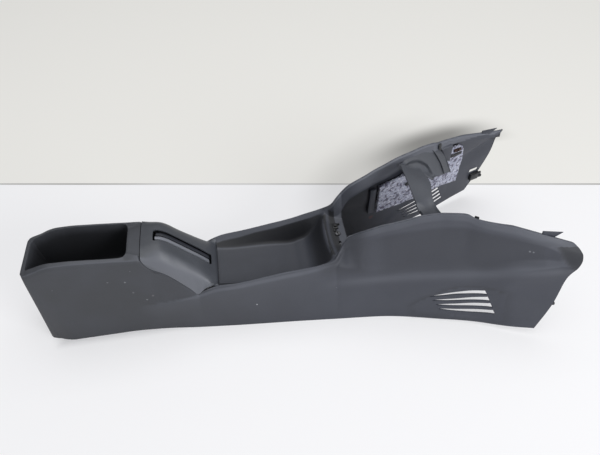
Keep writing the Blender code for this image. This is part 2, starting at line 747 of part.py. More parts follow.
def felt_pad(name, side):
    """Felt pad that follows the inner face of a cheek."""
    pad = bmesh.new()
    shares = [index / FELT_ROWS for index in range(FELT_ROWS + 1)]
    front, back = [], []
    for x, low, high in FELT_EDGES:
        near, far = [], []
        for share in shares:
            z = low + (high - low) * share
            near.append(pad.verts.new(place(off_wall(x, z, WALL + FELT_GAP + FELT_THICK, side))))
            far.append(pad.verts.new(place(off_wall(x, z, WALL + FELT_GAP, side))))
        front.append(near)
        back.append(far)
    columns, rows = len(FELT_EDGES), len(shares)
    for c in range(columns - 1):
        for r in range(rows - 1):
            for grid in (front, back):
                pad.faces.new([grid[c][r], grid[c + 1][r], grid[c + 1][r + 1], grid[c][r + 1]])
    loop = [(c, 0) for c in range(columns)] + [(columns - 1, r) for r in range(1, rows)]
    loop += [(c, rows - 1) for c in range(columns - 2, -1, -1)] + [(0, r) for r in range(rows - 2, 0, -1)]
    for (c0, r0), (c1, r1) in zip(loop, loop[1:] + loop[:1]):
        pad.faces.new([front[c0][r0], front[c1][r1], back[c1][r1], back[c0][r0]])
    bmesh.ops.recalc_face_normals(pad, faces=pad.faces)
    return new_object(name, pad, (0.35, 0.32, 0.4), 0.95)


def felt_pin(name, x, z, side):
    """Round push pin that holds a felt pad."""
    face = WALL + FELT_GAP + FELT_THICK
    head = tube(name, off_wall(x, z, face + GAP, side), off_wall(x, z, face + GAP + 2.0, side), 5.0, 12,
                (0.01, 0.01, 0.012), 4.0)
    return head


def wall_block(name, x0, x1, z0, z1, near, far, side):
    """Block between two depths behind the outer face of a side wall."""
    corners = ((x0, z0), (x1, z0), (x1, z1), (x0, z1))
    low = [off_wall(x, z, far, side) for x, z in corners]
    high = [off_wall(x, z, near, side) for x, z in corners]
    return block(name, low + high)


def edge_clip(name, side):
    """Spring clip on the front edge of a cheek."""
    mid = CLIP_Z if side > 0 else CLIP_Z + 8
    seat = WALL + 2 * GAP
    clip = wall_block(name, NOTCH_X + 3, NOTCH_X + 25, mid - 10, mid + 9, seat, seat + CLIP_DEPTH, side)
    paint(clip, (0.01, 0.01, 0.012), 0.5)
    for reach, low, high in ((35, -8, -2), (32, 2, 8)):
        prong = wall_block("prong", NOTCH_X + 20, NOTCH_X + reach, mid + low, mid + high,
                           seat + 1.5, seat + CLIP_DEPTH - 1.5, side)
        boolean(clip, prong, "UNION")
    return clip


def nut_clip(name, side):
    """Folded metal nut clip high on the inner face of a cheek."""
    depth = WALL + FELT_GAP + FELT_THICK + GAP
    low = [off_wall(NUT_X + dx, NUT_Z + dz, depth, side) for dx, dz in ((-8, -5), (8, -5), (8, 5), (-8, 5))]
    high = [off_wall(NUT_X + dx, NUT_Z + dz, depth + 2.5, side) for dx, dz in ((-8, -5), (8, -5), (8, 5), (-8, 5))]
    clip = block(name, low + high, (0.18, 0.12, 0.1))
    start = off_wall(NUT_X, NUT_Z, depth - 1, side)
    end = off_wall(NUT_X, NUT_Z, depth + 6, side)
    boolean(clip, tube("cutter", start, end, 2.6, 12, (0, 0, 0)), "DIFFERENCE")
    return clip


def top_clip(name, side):
    """Small black retainer on the inner face of the cheek's top flange."""
    low, high = [], []
    for end, depth in ((-1, TOP_CLIP_THICK), (1, TOP_CLIP_THICK), (1, 0.0), (-1, 0.0)):
        x = TOP_CLIP_X + end * TOP_CLIP_HALF
        rim = rim_row(x)
        lean = rim[1] - track(FLANGE, x, 1)
        y = rim[1] - 2 * GAP - depth
        low.append((x, (y - lean) * side, rim[2] - 10))
        high.append((x, y * side, rim[2] + 4))
    return block(name, low + high, (0.01, 0.01, 0.012))


def flange_screw():
    """Screw that stands in the middle hole of the rear flange."""
    top = SHELF_Z + GAP
    shank = tube("flange_screw", (SCREW_X, 0, top - 12), (SCREW_X, 0, top + 1), SCREW_SHANK_R, 12,
                 (0.55, 0.55, 0.53))
    head = tube("head", (SCREW_X, 0, top), (SCREW_X, 0, top + 3.2), SCREW_HEAD_R, 16, (0, 0, 0), 4.6)
    boolean(shank, head, "UNION")
    return shank


def main():
    for obj in list(bpy.data.objects):
        bpy.data.objects.remove(obj)
    console_body()
    brake_trim()
    slot_lip("slot_lip_near", (SLOT_SHIFT - SLOT_HALF + GAP, LIP_NEAR_INNER), LIP_RISE)
    slot_lip("slot_lip_far", (LIP_FAR_INNER, SLOT_SHIFT + SLOT_HALF - GAP), -3.0)
    for side, label in ((-1, "near"), (1, "far")):
        felt_pad("felt_pad_" + label, side)
        felt_pin("felt_pin_" + label, PIN_X, PIN_Z, side)
        edge_clip("edge_clip_" + label, side)
        nut_clip("nut_clip_" + label, side)
        top_clip("top_clip_" + label, side)
    flange_screw()


main()
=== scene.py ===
"""Studio scene of a car center console: one long moulding with its trim, felt pads and clips.

Tables and sizes are in millimetres and are turned to metres when a mesh is made.
x is counted from the rear edge of the bin opening, y from the middle, z from the floor.
"""
import logging
import math
from collections.abc import Callable, Sequence
from dataclasses import dataclass, field
from enum import Enum
from functools import partial
from typing import Optional, Union

import bmesh
import bpy
import numpy as np
from mathutils import Matrix, Vector, noise


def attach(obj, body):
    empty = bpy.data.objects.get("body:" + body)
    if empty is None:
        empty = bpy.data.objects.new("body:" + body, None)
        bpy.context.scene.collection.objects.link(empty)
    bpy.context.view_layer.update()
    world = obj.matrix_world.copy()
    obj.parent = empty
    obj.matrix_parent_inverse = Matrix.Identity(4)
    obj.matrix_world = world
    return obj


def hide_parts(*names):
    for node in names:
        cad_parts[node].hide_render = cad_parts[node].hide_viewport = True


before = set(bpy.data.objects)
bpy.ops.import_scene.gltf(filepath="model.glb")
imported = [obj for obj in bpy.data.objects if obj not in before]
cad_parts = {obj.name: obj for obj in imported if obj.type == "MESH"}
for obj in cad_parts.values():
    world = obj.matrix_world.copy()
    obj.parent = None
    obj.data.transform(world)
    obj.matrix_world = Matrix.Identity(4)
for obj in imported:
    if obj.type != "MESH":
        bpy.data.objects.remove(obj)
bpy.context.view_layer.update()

LOG = logging.getLogger("console_scene")

MM = 0.001
X_MIDDLE = 471.95
WELD = 0.02 * MM
QUARTERS = (0.0, 0.25, 0.5, 0.75)
# Stations between which the cheeks grow hollow and turn full again.
HOLLOW = (590.0, 690.0, 850.0, 905.0)
DUST = "#a7a8aa"

Point = tuple[float, float, float]
Span = tuple[float, float]
Range = tuple[float, float, float, float]
Column = list[Optional[Point]]
BMesh = bmesh.types.BMesh
Object = bpy.types.Object
Material = bpy.types.Material
Socket = bpy.types.NodeSocket
Tint = Union[str, Socket]


class Side(Enum):
    """The two cheeks, as seen from the camera."""

    NEAR = -1
    FAR = 1

    @property
    def label(self) -> str:
        """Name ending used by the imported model."""
        return self.name.lower()


# Scuffs and chips: side, station, height, radius in mm, colour, strength.
SCUFFS = (
    (Side.NEAR, 397, 57, 1.9, "#c4c6ca", 0.9), (Side.NEAR, 879, 194, 2.2, "#8c8e94", 0.55),
    (Side.NEAR, 885, 193, 2.0, "#8c8e94", 0.5), (Side.NEAR, 135, 152, 1.8, "#85878b", 0.5),
    (Side.NEAR, 165, 146, 2.0, "#8f9195", 0.6), (Side.NEAR, 193, 92, 2.0, "#8f9195", 0.5),
    (Side.NEAR, 206, 101, 2.6, "#6d6a6c", 0.6), (Side.NEAR, 173, 115.5, 2.4, "#77787c", 0.5),
    (Side.FAR, 662, 69, 7.0, "#5a3a3c", 0.6))

# ---- points and shares ----


def place(point: Sequence[float], side: int = 1) -> Vector:
    """Turn a station point in millimetres into the row frame in metres."""
    return Vector(((point[0] - X_MIDDLE) * MM, point[1] * side * MM, point[2] * MM))


def station_of(spot: Vector) -> Point:
    """Station, distance from the middle and height of a mesh point, in millimetres."""
    return spot.x / MM + X_MIDDLE, abs(spot.y) / MM, spot.z / MM


def mix(a: Sequence[float], b: Sequence[float], t: float) -> Point:
    """Point between a and b."""
    return tuple(p + (q - p) * t for p, q in zip(a, b))


def spline(knots: Sequence[Point], k: int, t: float) -> Point:
    """Point between two knots of a smooth line that also heeds the knots around them.

    Args:
        knots: Points that the line goes through.
        k: Knot that the stretch starts at.
        t: Share of the way to the next knot.

    Returns:
        The point at that share.
    """
    around = (knots[max(k - 1, 0)], knots[k], knots[k + 1], knots[min(k + 2, len(knots) - 1)])
    return tuple(0.5 * (2 * p1 + (p2 - p0) * t + (2 * p0 - 5 * p1 + 4 * p2 - p3) * t ** 2
                        + (3 * p1 - p0 - 3 * p2 + p3) * t ** 3) for p0, p1, p2, p3 in zip(*around))


def run(knots: Sequence[Point], shares: Sequence[float] = QUARTERS) -> list[Point]:
    """Smooth line through all knots, sampled at the shares of each stretch and at its end."""
    return [spline(knots, k, t) for k in range(len(knots) - 1) for t in shares] + [knots[-1]]


def ring_of(a0: float, a1: float, b0: float, b1: float) -> tuple[Span, ...]:
    """Corners of a rectangle in ring order."""
    return (a0, b0), (a1, b0), (a1, b1), (a0, b1)


def smooth_step(low: float, high: float, value: float) -> float:
    """Soft change from 0 at low to 1 at high."""
    t = min(1.0, max(0.0, (value - low) / (high - low)))
    return t * t * (3 - 2 * t)


def window(value: float, a: float, b: float, c: float, d: float) -> float:
    """Soft window that opens from a to b and closes from c to d."""
    return smooth_step(a, b, value) * (1 - smooth_step(c, d, value))


def linear(color: str) -> tuple[float, float, float, float]:
    """Turn an sRGB hex colour into a linear colour with full alpha."""
    values = [int(color[i:i + 2], 16) / 255 for i in (1, 3, 5)]
    return (*(v / 12.92 if v <= 0.04045 else ((v + 0.055) / 1.055) ** 2.4 for v in values), 1.0)


# ---- meshes ----


def to_object(name: str, shape: BMesh) -> Object:
    """Turn a finished bmesh into a linked object at the origin.

    Args:
        name: Name of the object.
        shape: The bmesh, which is freed.

    Returns:
        The object.
    """
    mesh = bpy.data.meshes.new(name)
    shape.to_mesh(mesh)
    shape.free()
    obj = bpy.data.objects.new(name, mesh)
    bpy.context.scene.collection.objects.link(obj)
    return obj


def modify(obj: Object, kind: str, **settings) -> Object:
    """Run one modifier over a piece and keep the result as its mesh.

    Args:
        obj: The piece.
        kind: Type of the modifier.
        **settings: Properties of the modifier.

    Returns:
        The piece.
    """
    step = obj.modifiers.new(kind.lower(), kind)
    for name, value in settings.items():
        setattr(step, name, value)
    graph = bpy.context.evaluated_depsgraph_get()
    mesh = bpy.data.meshes.new_from_object(obj.evaluated_get(graph))
    obj.modifiers.clear()
    obj.data = mesh
    return obj


def soften(obj: Object, levels: int) -> Object:
    """Round a piece with a Subdivision Surface."""
    return modify(obj, "SUBSURF", levels=levels, render_levels=levels, boundary_smooth="PRESERVE_CORNERS")


def wall_up(obj: Object, thickness: float) -> Object:
    """Give a sheet its wall behind the visible side, in millimetres."""
    return modify(obj, "SOLIDIFY", thickness=thickness * MM, offset=-1.0, use_even_offset=False)


def carve(obj: Object, shape: BMesh, use_self: bool = False) -> Object:
    """Cut a closed shape out of a piece.

    Args:
        obj: The piece.
        shape: The shape, which is freed.
        use_self: Whether parts of the shape overlap.

    Returns:
        The piece.
    """
    tool = to_object("tool", shape)
    modify(obj, "BOOLEAN", operation="DIFFERENCE", object=tool, solver="EXACT", use_self=use_self)
    bpy.data.objects.remove(tool)
    return obj


def shade(obj: Object, degrees: float) -> Object:
    """Smooth shading that keeps edges sharper than an angle.

    Args:
        obj: The piece.
        degrees: The angle.

    Returns:
        The piece.
    """
    obj.data.shade_smooth()
    obj.data.set_sharp_from_angle(angle=math.radians(degrees))
    return obj


def piece(name: str, shape: BMesh, degrees: float = 40) -> Object:
    """Shaded object of a finished bmesh."""
    return shade(to_object(name, shape), degrees)


def shift(obj: Object, amount: Callable[[Point], float]) -> None:
    """Move the points of a piece away from the middle, by a length in millimetres for each."""
    for vert in obj.data.vertices:
        vert.co.y += math.copysign(1.0, vert.co.y) * amount(station_of(vert.co)) * MM


def raise_points(obj: Object, amount: Callable[[Vector], float]) -> None:
    """Move the points of a piece along their normals, by a length in millimetres for each.

    Args:
        obj: The piece.
        amount: Length for the place of a point.
    """
    moves = [vert.normal * amount(vert.co) * MM for vert in obj.data.vertices]
    for vert, move in zip(obj.data.vertices, moves):
        vert.co += move


def gather(first: BMesh, *others: BMesh) -> BMesh:
    """Add shapes to a bmesh.

    Args:
        first: The bmesh that grows.
        *others: The shapes, which are freed.

    Returns:
        The first bmesh.
    """
    for shape in others:
        carrier = bpy.data.meshes.new("carrier")
        shape.to_mesh(carrier)
        shape.free()
        first.from_mesh(carrier)
        bpy.data.meshes.remove(carrier)
    return first


def sheet_from(columns: Sequence[Column]) -> BMesh:
    """Lay a grid over columns of points; None entries leave openings.

    Args:
        columns: Equal columns of station points.

    Returns:
        The sheet.
    """
    across, along = len(columns[0]) - 1, len(columns) - 1
    sheet = bmesh.new()
    bmesh.ops.create_grid(sheet, x_segments=along, y_segments=across, size=1.0)
    spare = []
    for vert in sheet.verts:
        point = columns[round((vert.co.x + 1) / 2 * along)][round((vert.co.y + 1) / 2 * across)]
        if point is None:
            spare.append(vert)
        else:
            vert.co = place(point)
    bmesh.ops.delete(sheet, geom=spare, context="VERTS")
    return sheet


def mirrored(sheet: BMesh) -> BMesh:
    """Mirror a half sheet across the middle, weld it there and turn its flat top up.

    Args:
        sheet: The half sheet.

    Returns:
        The whole sheet.
    """
    everything = sheet.verts[:] + sheet.edges[:] + sheet.faces[:]
    bmesh.ops.mirror(sheet, geom=everything, matrix=Matrix.Identity(4), merge_dist=WELD, axis="Y")
    bmesh.ops.remove_doubles(sheet, verts=sheet.verts, dist=WELD)
    bmesh.ops.recalc_face_normals(sheet, faces=sheet.faces)
    sheet.normal_update()
    flat = max(sheet.faces, key=lambda face: abs(face.normal.z) * face.calc_area())
    if flat.normal.z < 0:
        bmesh.ops.reverse_faces(sheet, faces=sheet.faces)
    return sheet


def bar_from(rings: Sequence[Column]) -> BMesh:
    """Closed bar through open rings of points.

    Args:
        rings: The rings, from one end of the bar to the other.

    Returns:
        The bar.
    """
    bar = sheet_from([ring + [ring[0]] for ring in rings])
    bmesh.ops.remove_doubles(bar, verts=bar.verts, dist=WELD / 2)
    bmesh.ops.holes_fill(bar, edges=[edge for edge in bar.edges if edge.is_boundary], sides=0)
    bmesh.ops.recalc_face_normals(bar, faces=bar.faces)
    return bar


def round_edges(shape: BMesh, edges: Sequence[bmesh.types.BMEdge], radius: float, segments: int = 2,
                clamp: bool = False) -> None:
    """Round edges of a shape by a radius in millimetres."""
    bmesh.ops.bevel(shape, geom=edges, offset=radius * MM, segments=segments, profile=0.5,
                    affect="EDGES", material=-1, clamp_overlap=clamp)


def hexahedron(corners: Sequence[Point], radius: float = 0.0) -> BMesh:
    """Block with eight given corners and rounded edges.

    Args:
        corners: Station points in ring order, the low ring first.
        radius: Edge rounding in millimetres.

    Returns:
        The closed block.
    """
    block = bmesh.new()
    made = bmesh.ops.create_cube(block, size=2.0)
    order = {(-1, -1): 0, (1, -1): 1, (1, 1): 2, (-1, 1): 3}
    for vert in made["verts"]:
        ring = order[(round(vert.co.x), round(vert.co.y))]
        vert.co = place(corners[ring + (4 if vert.co.z > 0 else 0)])
    bmesh.ops.recalc_face_normals(block, faces=block.faces)
    if radius > 0:
        round_edges(block, block.edges[:], radius, clamp=True)
    return block


def straight_block(x0: float, x1: float, y0: float, y1: float, z0: float, z1: float,
                   radius: float = 0.0) -> BMesh:
    """Upright block between two corners, in millimetres."""
    ring = ring_of(x0, x1, y0, y1)
    return hexahedron([(x, y, z) for z in (z0, z1) for x, y in ring], radius)


def round_bar(start: Point, end: Point, radius: float, radius_end: Optional[float] = None,
              sides: int = 24, rounding: float = 0.0) -> BMesh:
    """Closed round bar or cone between two station points.

    Args:
        start: Middle of the first end.
        end: Middle of the other end.
        radius: Radius at the start, in millimetres.
        radius_end: Radius at the other end, the same if left out.
        sides: Faces round the bar.
        rounding: Edge rounding at both ends.

    Returns:
        The closed bar.
    """
    a, b = place(start), place(end)
    bar = bmesh.new()
    bmesh.ops.create_cone(bar, cap_ends=True, segments=sides, radius1=radius * MM,
                          radius2=(radius_end or radius) * MM, depth=(b - a).length)
    if rounding > 0:
        rims = [edge for edge in bar.edges if abs(edge.verts[0].co.z - edge.verts[1].co.z) < 1e-7]
        round_edges(bar, rims, rounding)
    turn = (b - a).to_track_quat("Z", "Y").to_matrix().to_4x4()
    bmesh.ops.transform(bar, matrix=Matrix.Translation((a + b) / 2) @ turn, verts=bar.verts)
    return bar


def bead(name: str, points: Sequence[Point], radius: float, side: Side) -> Object:
    """Round bead along station points, as a mesh.

    Args:
        name: Name of the piece.
        points: Points along the bead.
        radius: Radius in millimetres.
        side: Which side of the middle.

    Returns:
        The bead.
    """
    line = bpy.data.curves.new(name, "CURVE")
    line.dimensions = "3D"
    line.bevel_depth = radius * MM
    line.bevel_resolution = 3
    line.use_fill_caps = True
    line.resolution_u = 6
    curve = line.splines.new("NURBS")
    curve.points.add(len(points) - 1)
    for knot, point in zip(curve.points, points):
        knot.co = (*place(point, side.value), 1.0)
    curve.use_endpoint_u = True
    curve.order_u = 3
    holder = bpy.data.objects.new(name, line)
    bpy.context.scene.collection.objects.link(holder)
    graph = bpy.context.evaluated_depsgraph_get()
    mesh = bpy.data.meshes.new_from_object(holder.evaluated_get(graph))
    bpy.data.objects.remove(holder)
    made = bpy.data.objects.new(name, mesh)
    bpy.context.scene.collection.objects.link(made)
    return made


def dress(obj: Object, material: Material) -> None:
    """Give every face of a piece one material.

    Args:
        obj: The piece.
        material: Its finish.
    """
    obj.data.materials.clear()
    obj.data.materials.append(material)
    for polygon in obj.data.polygons:
        polygon.material_index = 0


def deliver(obj: Object, material: Material, slot: str, *nodes: str) -> Object:
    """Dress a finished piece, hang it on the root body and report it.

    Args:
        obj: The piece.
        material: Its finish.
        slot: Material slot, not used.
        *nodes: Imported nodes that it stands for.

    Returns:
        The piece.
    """
    dress(obj, material)
    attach(obj, "root")
    if nodes:
        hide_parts(*nodes)
    LOG.info("%s: %d faces, finish %s", obj.name, len(obj.data.polygons), material.name)
    return obj


# ---- finishes ----


class Nodes:
    """Node material in the making, with a short call for each kind of node it uses often."""

    def __init__(self, name: str) -> None:
        """Start an empty material that knows its object coordinates."""
        self.material = bpy.data.materials.new(name)
        self.material.use_nodes = True
        self.material.node_tree.nodes.clear()
        self.spot = self.add("TexCoord").outputs["Object"]

    def add(self, kind: str, inputs: Optional[dict] = None, **settings) -> bpy.types.Node:
        """Add one shader node with its settings, values and links.

        Args:
            kind: Node type without its ShaderNode prefix.
            inputs: Socket name or number to a value, or to the socket that feeds it.
            **settings: Properties of the node itself.

        Returns:
            The new node.
        """
        tree = self.material.node_tree
        made = tree.nodes.new("ShaderNode" + kind)
        for name, value in settings.items():
            setattr(made, name, value)
        for key, value in (inputs or {}).items():
            if isinstance(value, Socket):
                tree.links.new(value, made.inputs[key])
            else:
                made.inputs[key].default_value = value
        return made

    def noise(self, scale: float, detail: float, roughness: float = 0.5, at: Optional[Socket] = None) -> Socket:
        """Noise pattern with a scale per metre."""
        return self.add("TexNoise", {"Vector": at or self.spot, "Scale": scale, "Detail": detail,
                                     "Roughness": roughness}).outputs["Fac"]

    def math(self, operation: str, *values: Union[float, Socket], clamp: bool = False) -> Socket:
        """Result of a Math node."""
        return self.add("Math", dict(enumerate(values)), operation=operation, use_clamp=clamp).outputs[0]

    def vector(self, operation: str, *values: Union[Point, Socket]) -> bpy.types.Node:
        """Vector Math node."""
        return self.add("VectorMath", dict(enumerate(values)), operation=operation)

    def axes(self, value: Socket) -> bpy.types.bpy_prop_collection:
        """Sockets X, Y and Z of a vector."""
        return self.add("SeparateXYZ", {0: value}).outputs

    def ramp(self, value: Socket, low: float, high: float, start: float = 0.0, end: float = 1.0,
             soft: bool = False) -> Socket:
        """Clamped change from start to end while a value goes from low to high."""
        return self.add("MapRange", {"Value": value, "From Min": low, "From Max": high, "To Min": start,
                                     "To Max": end}, interpolation_type="SMOOTHSTEP" if soft else "LINEAR").outputs[0]

    def blend(self, share: Union[float, Socket], a: Tint, b: Tint, kind: str = "MIX") -> Socket:
        """Colour between two colours, each a hex value or a socket."""
        a, b = (linear(tint) if isinstance(tint, str) else tint for tint in (a, b))
        return self.add("Mix", {"Factor": share, 6: a, 7: b}, data_type="RGBA", blend_type=kind).outputs[2]

    def bump(self, relief: Socket, strength: float, depth_mm: float) -> Socket:
        """Normal of a relief with a depth in millimetres."""
        return self.add("Bump", {"Strength": strength, "Distance": depth_mm * MM, "Height": relief}).outputs[0]

    def close(self, inputs: dict, shader: str = "BsdfPrincipled") -> Material:
        """Put a shader on the surface and hand over the material."""
        self.add("OutputMaterial", {"Surface": self.add(shader, inputs).outputs[0]})
        return self.material


@dataclass(frozen=True)
class Mark:
    """Small scuff, chip or stain with a ragged edge at one spot of a moulding."""

    spot: Point
    radius_mm: float
    color: str
    strength: float = 1.0
    ragged: float = 1.4
    fade: Span = (1.7, 1.3)

    def over(self, made: Nodes, below: Socket) -> Socket:
        """Lay the mark over a colour.

        Args:
            made: Material that gets the nodes.
            below: The colour so far.

        Returns:
            The colour with the mark.
        """
        size = self.radius_mm * MM
        wobble = made.math("MULTIPLY", made.noise(700.0, 2.0), size * self.ragged)
        away = made.vector("DISTANCE", made.spot, self.spot).outputs["Value"]
        low, high = (size * times for times in self.fade)
        share = made.ramp(made.math("ADD", away, wobble), low, high, 0.0, self.strength)
        return made.blend(share, below, self.color)


@dataclass(frozen=True)
class GrainedPolypropylene:
    """Injection moulded polypropylene with a fine spark-eroded grain, matte and slightly dusty.

    The eye sees a dull charcoal with pale dust; where light grazes it the lift is a painted highlight, and the
    hollows get painted shade.
    """

    name: str
    base: str
    dusty: str
    roughness: float = 0.56
    grain_mm: float = 1.5
    grain_depth_mm: float = 0.06
    cloud_mm: float = 85.0
    specks: float = 0.35
    speck_size: float = 0.045
    speck_rarity: float = 0.93
    # Painted highlight: its colour, its strength and the facings that get it.
    painted_highlight: str = "#63666f"
    highlight_strength: float = 0.36
    bend: Span = (0.18, 0.5)
    lift: Span = (0.24, 0.46)
    # Colour of the painted shade.
    deep: str = "#17181b"
    # Painted cool reflection: its tint, its strength and where along the length it grows, in metres.
    reflection_tint: str = "#3b3e48"
    reflection_share: float = 0.9
    reflection_span_m: Span = (-0.3, 0.1)
    marks: tuple[Mark, ...] = ()

    def material(self) -> Material:
        """Build the node material.

        Returns:
            The material.
        """
        made = Nodes(self.name)
        # Real grain is about 0.4 mm; it is drawn coarser so that it shows at this size.
        grain = made.noise(1000 / self.grain_mm, 3.0, 0.6)
        cells = made.add("TexVoronoi", {"Vector": made.spot, "Scale": 1000 / (self.grain_mm * 1.4)})
        relief = made.math("ADD", grain, cells.outputs["Distance"])
        cloud = made.noise(1000 / self.cloud_mm, 4.0, 0.55)
        # A painted cool reflection makes the front half bluer than the rear, and a thin veil of dust lies over all.
        forward = made.ramp(made.axes(made.spot)["X"], *self.reflection_span_m, 0.0, self.reflection_share)
        tone = made.blend(made.ramp(cloud, 0.42, 0.72, 0.0, 0.34), made.blend(forward, self.base, self.reflection_tint),
                          self.dusty)
        mottled = made.blend(1.0, tone, made.ramp(grain, 0.3, 0.7, 0.93, 1.07), "MULTIPLY")
        # Painted highlight: faces that tilt up and outward are painted paler.
        facing = made.axes(made.add("NewGeometry").outputs["Normal"])
        shoulder = made.math("MULTIPLY", made.ramp(facing["Z"], *self.lift, soft=True),
                             made.ramp(made.math("ABSOLUTE", facing["Y"]), *self.bend, soft=True))
        # Painted shade darkens the bin, the tray and other hollows, and painted highlights stored on the mesh add to
        # the ones above.
        shade_mask, highlight_share = (made.add("Attribute", attribute_name=name).outputs["Fac"] for name in ("painted_shade", "highlight_share"))
        outside = made.math("MULTIPLY", shoulder, made.math("SUBTRACT", 1.0, shade_mask), clamp=True)
        painted_highlight = made.math("MULTIPLY_ADD", outside, self.highlight_strength, highlight_share, clamp=True)
        tone = made.blend(shade_mask, made.blend(painted_highlight, mottled, self.painted_highlight), self.deep)
        # Dust: sparse pale grains about a millimetre across.
        dots = made.add("TexVoronoi", {"Vector": made.spot, "Scale": 62.0, "Randomness": 1.0}).outputs
        small = made.math("LESS_THAN", dots["Distance"], self.speck_size)
        draw = made.add("SeparateColor", {"Color": dots["Color"]}).outputs["Red"]
        dust = made.math("MULTIPLY", small, made.math("GREATER_THAN", draw, self.speck_rarity))
        color = made.blend(made.math("MULTIPLY", dust, self.specks), tone, DUST)
        for mark in self.marks:
            color = mark.over(made, color)
        rough = made.ramp(cloud, 0.35, 0.7, self.roughness - 0.04, self.roughness + 0.06)
        return made.close({"Base Color": color, "Normal": made.bump(relief, 0.35, self.grain_depth_mm),
                           "Roughness": rough, "IOR": 1.49})


@dataclass(frozen=True)
class NeedleFelt:
    """Needle-punched recycled fibre felt: mauve grey with white, violet and dark flecks."""

    name: str = "needle_punched_felt"
    ground: str = "#a5a9be"
    pale: str = "#e6e7f0"
    dark: str = "#55526a"
    fleck_mm: float = 3.2
    fibre_mm: float = 1.3
    depth_mm: float = 1.1

    def material(self) -> Material:
        """Build the node material.

        Returns:
            The material.
        """
        made = Nodes(self.name)
        # The pattern is warped a little, so that flecks read as tangled fibre and not as dots.
        warp = made.add("TexNoise", {"Vector": made.spot, "Scale": 140.0, "Detail": 2.0}).outputs["Color"]
        bent = made.add("Mix", {"Factor": 0.012, 4: made.spot, 5: warp}, data_type="VECTOR").outputs[1]
        flecks = made.noise(1000 / self.fleck_mm, 3.0, 0.7, bent)
        patches = made.noise(1000 / (self.fleck_mm * 2.3), 2.0)
        fibres = made.noise(1000 / self.fibre_mm, 4.0, 0.75, bent)
        light = made.blend(made.ramp(flecks, 0.52, 0.62), self.ground, self.pale)
        tone = made.blend(made.ramp(patches, 0.5, 0.38), light, self.dark)
        bump = made.bump(made.math("ADD", flecks, fibres), 0.9, self.depth_mm)
        return made.close({"Base Color": tone, "Normal": bump, "Roughness": 0.95, "Sheen Weight": 0.3,
                           "Sheen Roughness": 0.5})


@dataclass(frozen=True)
class MouldedNylon:
    """Injection moulded black nylon of the clips and pins: near black with a dull shine."""

    name: str = "black_nylon"
    base: str = "#121315"
    flow: str = "#26272a"
    roughness: float = 0.5

    def material(self) -> Material:
        """Build the node material.

        Returns:
            The material.
        """
        made = Nodes(self.name)
        flow = made.noise(420.0, 3.0)
        return made.close({"Base Color": made.blend(flow, self.base, self.flow), "Normal": made.bump(flow, 0.2, 0.05),
                           "Roughness": self.roughness, "IOR": 1.53})


@dataclass(frozen=True)
class PlatedSteel:
    """Pressed or turned steel with a thin plating that has dulled and browned in places."""

    name: str
    bright: str
    stained: str
    roughness: float = 0.38

    def material(self) -> Material:
        """Build the node material.

        Returns:
            The material.
        """
        made = Nodes(self.name)
        stain = made.noise(330.0, 4.0)
        tone = made.blend(made.ramp(stain, 0.45, 0.65), self.bright, self.stained)
        rough = made.ramp(stain, 0.0, 1.0, self.roughness - 0.06, self.roughness + 0.2)
        return made.close({"Base Color": tone, "Metallic": 1.0, "Roughness": rough})


@dataclass(frozen=True)
class SoftShadow:
    """One painted shadow along the bow: its reach in metres, where it grows and fades, its depth."""

    reach: float
    grow: Span
    fade: Span
    depth: float


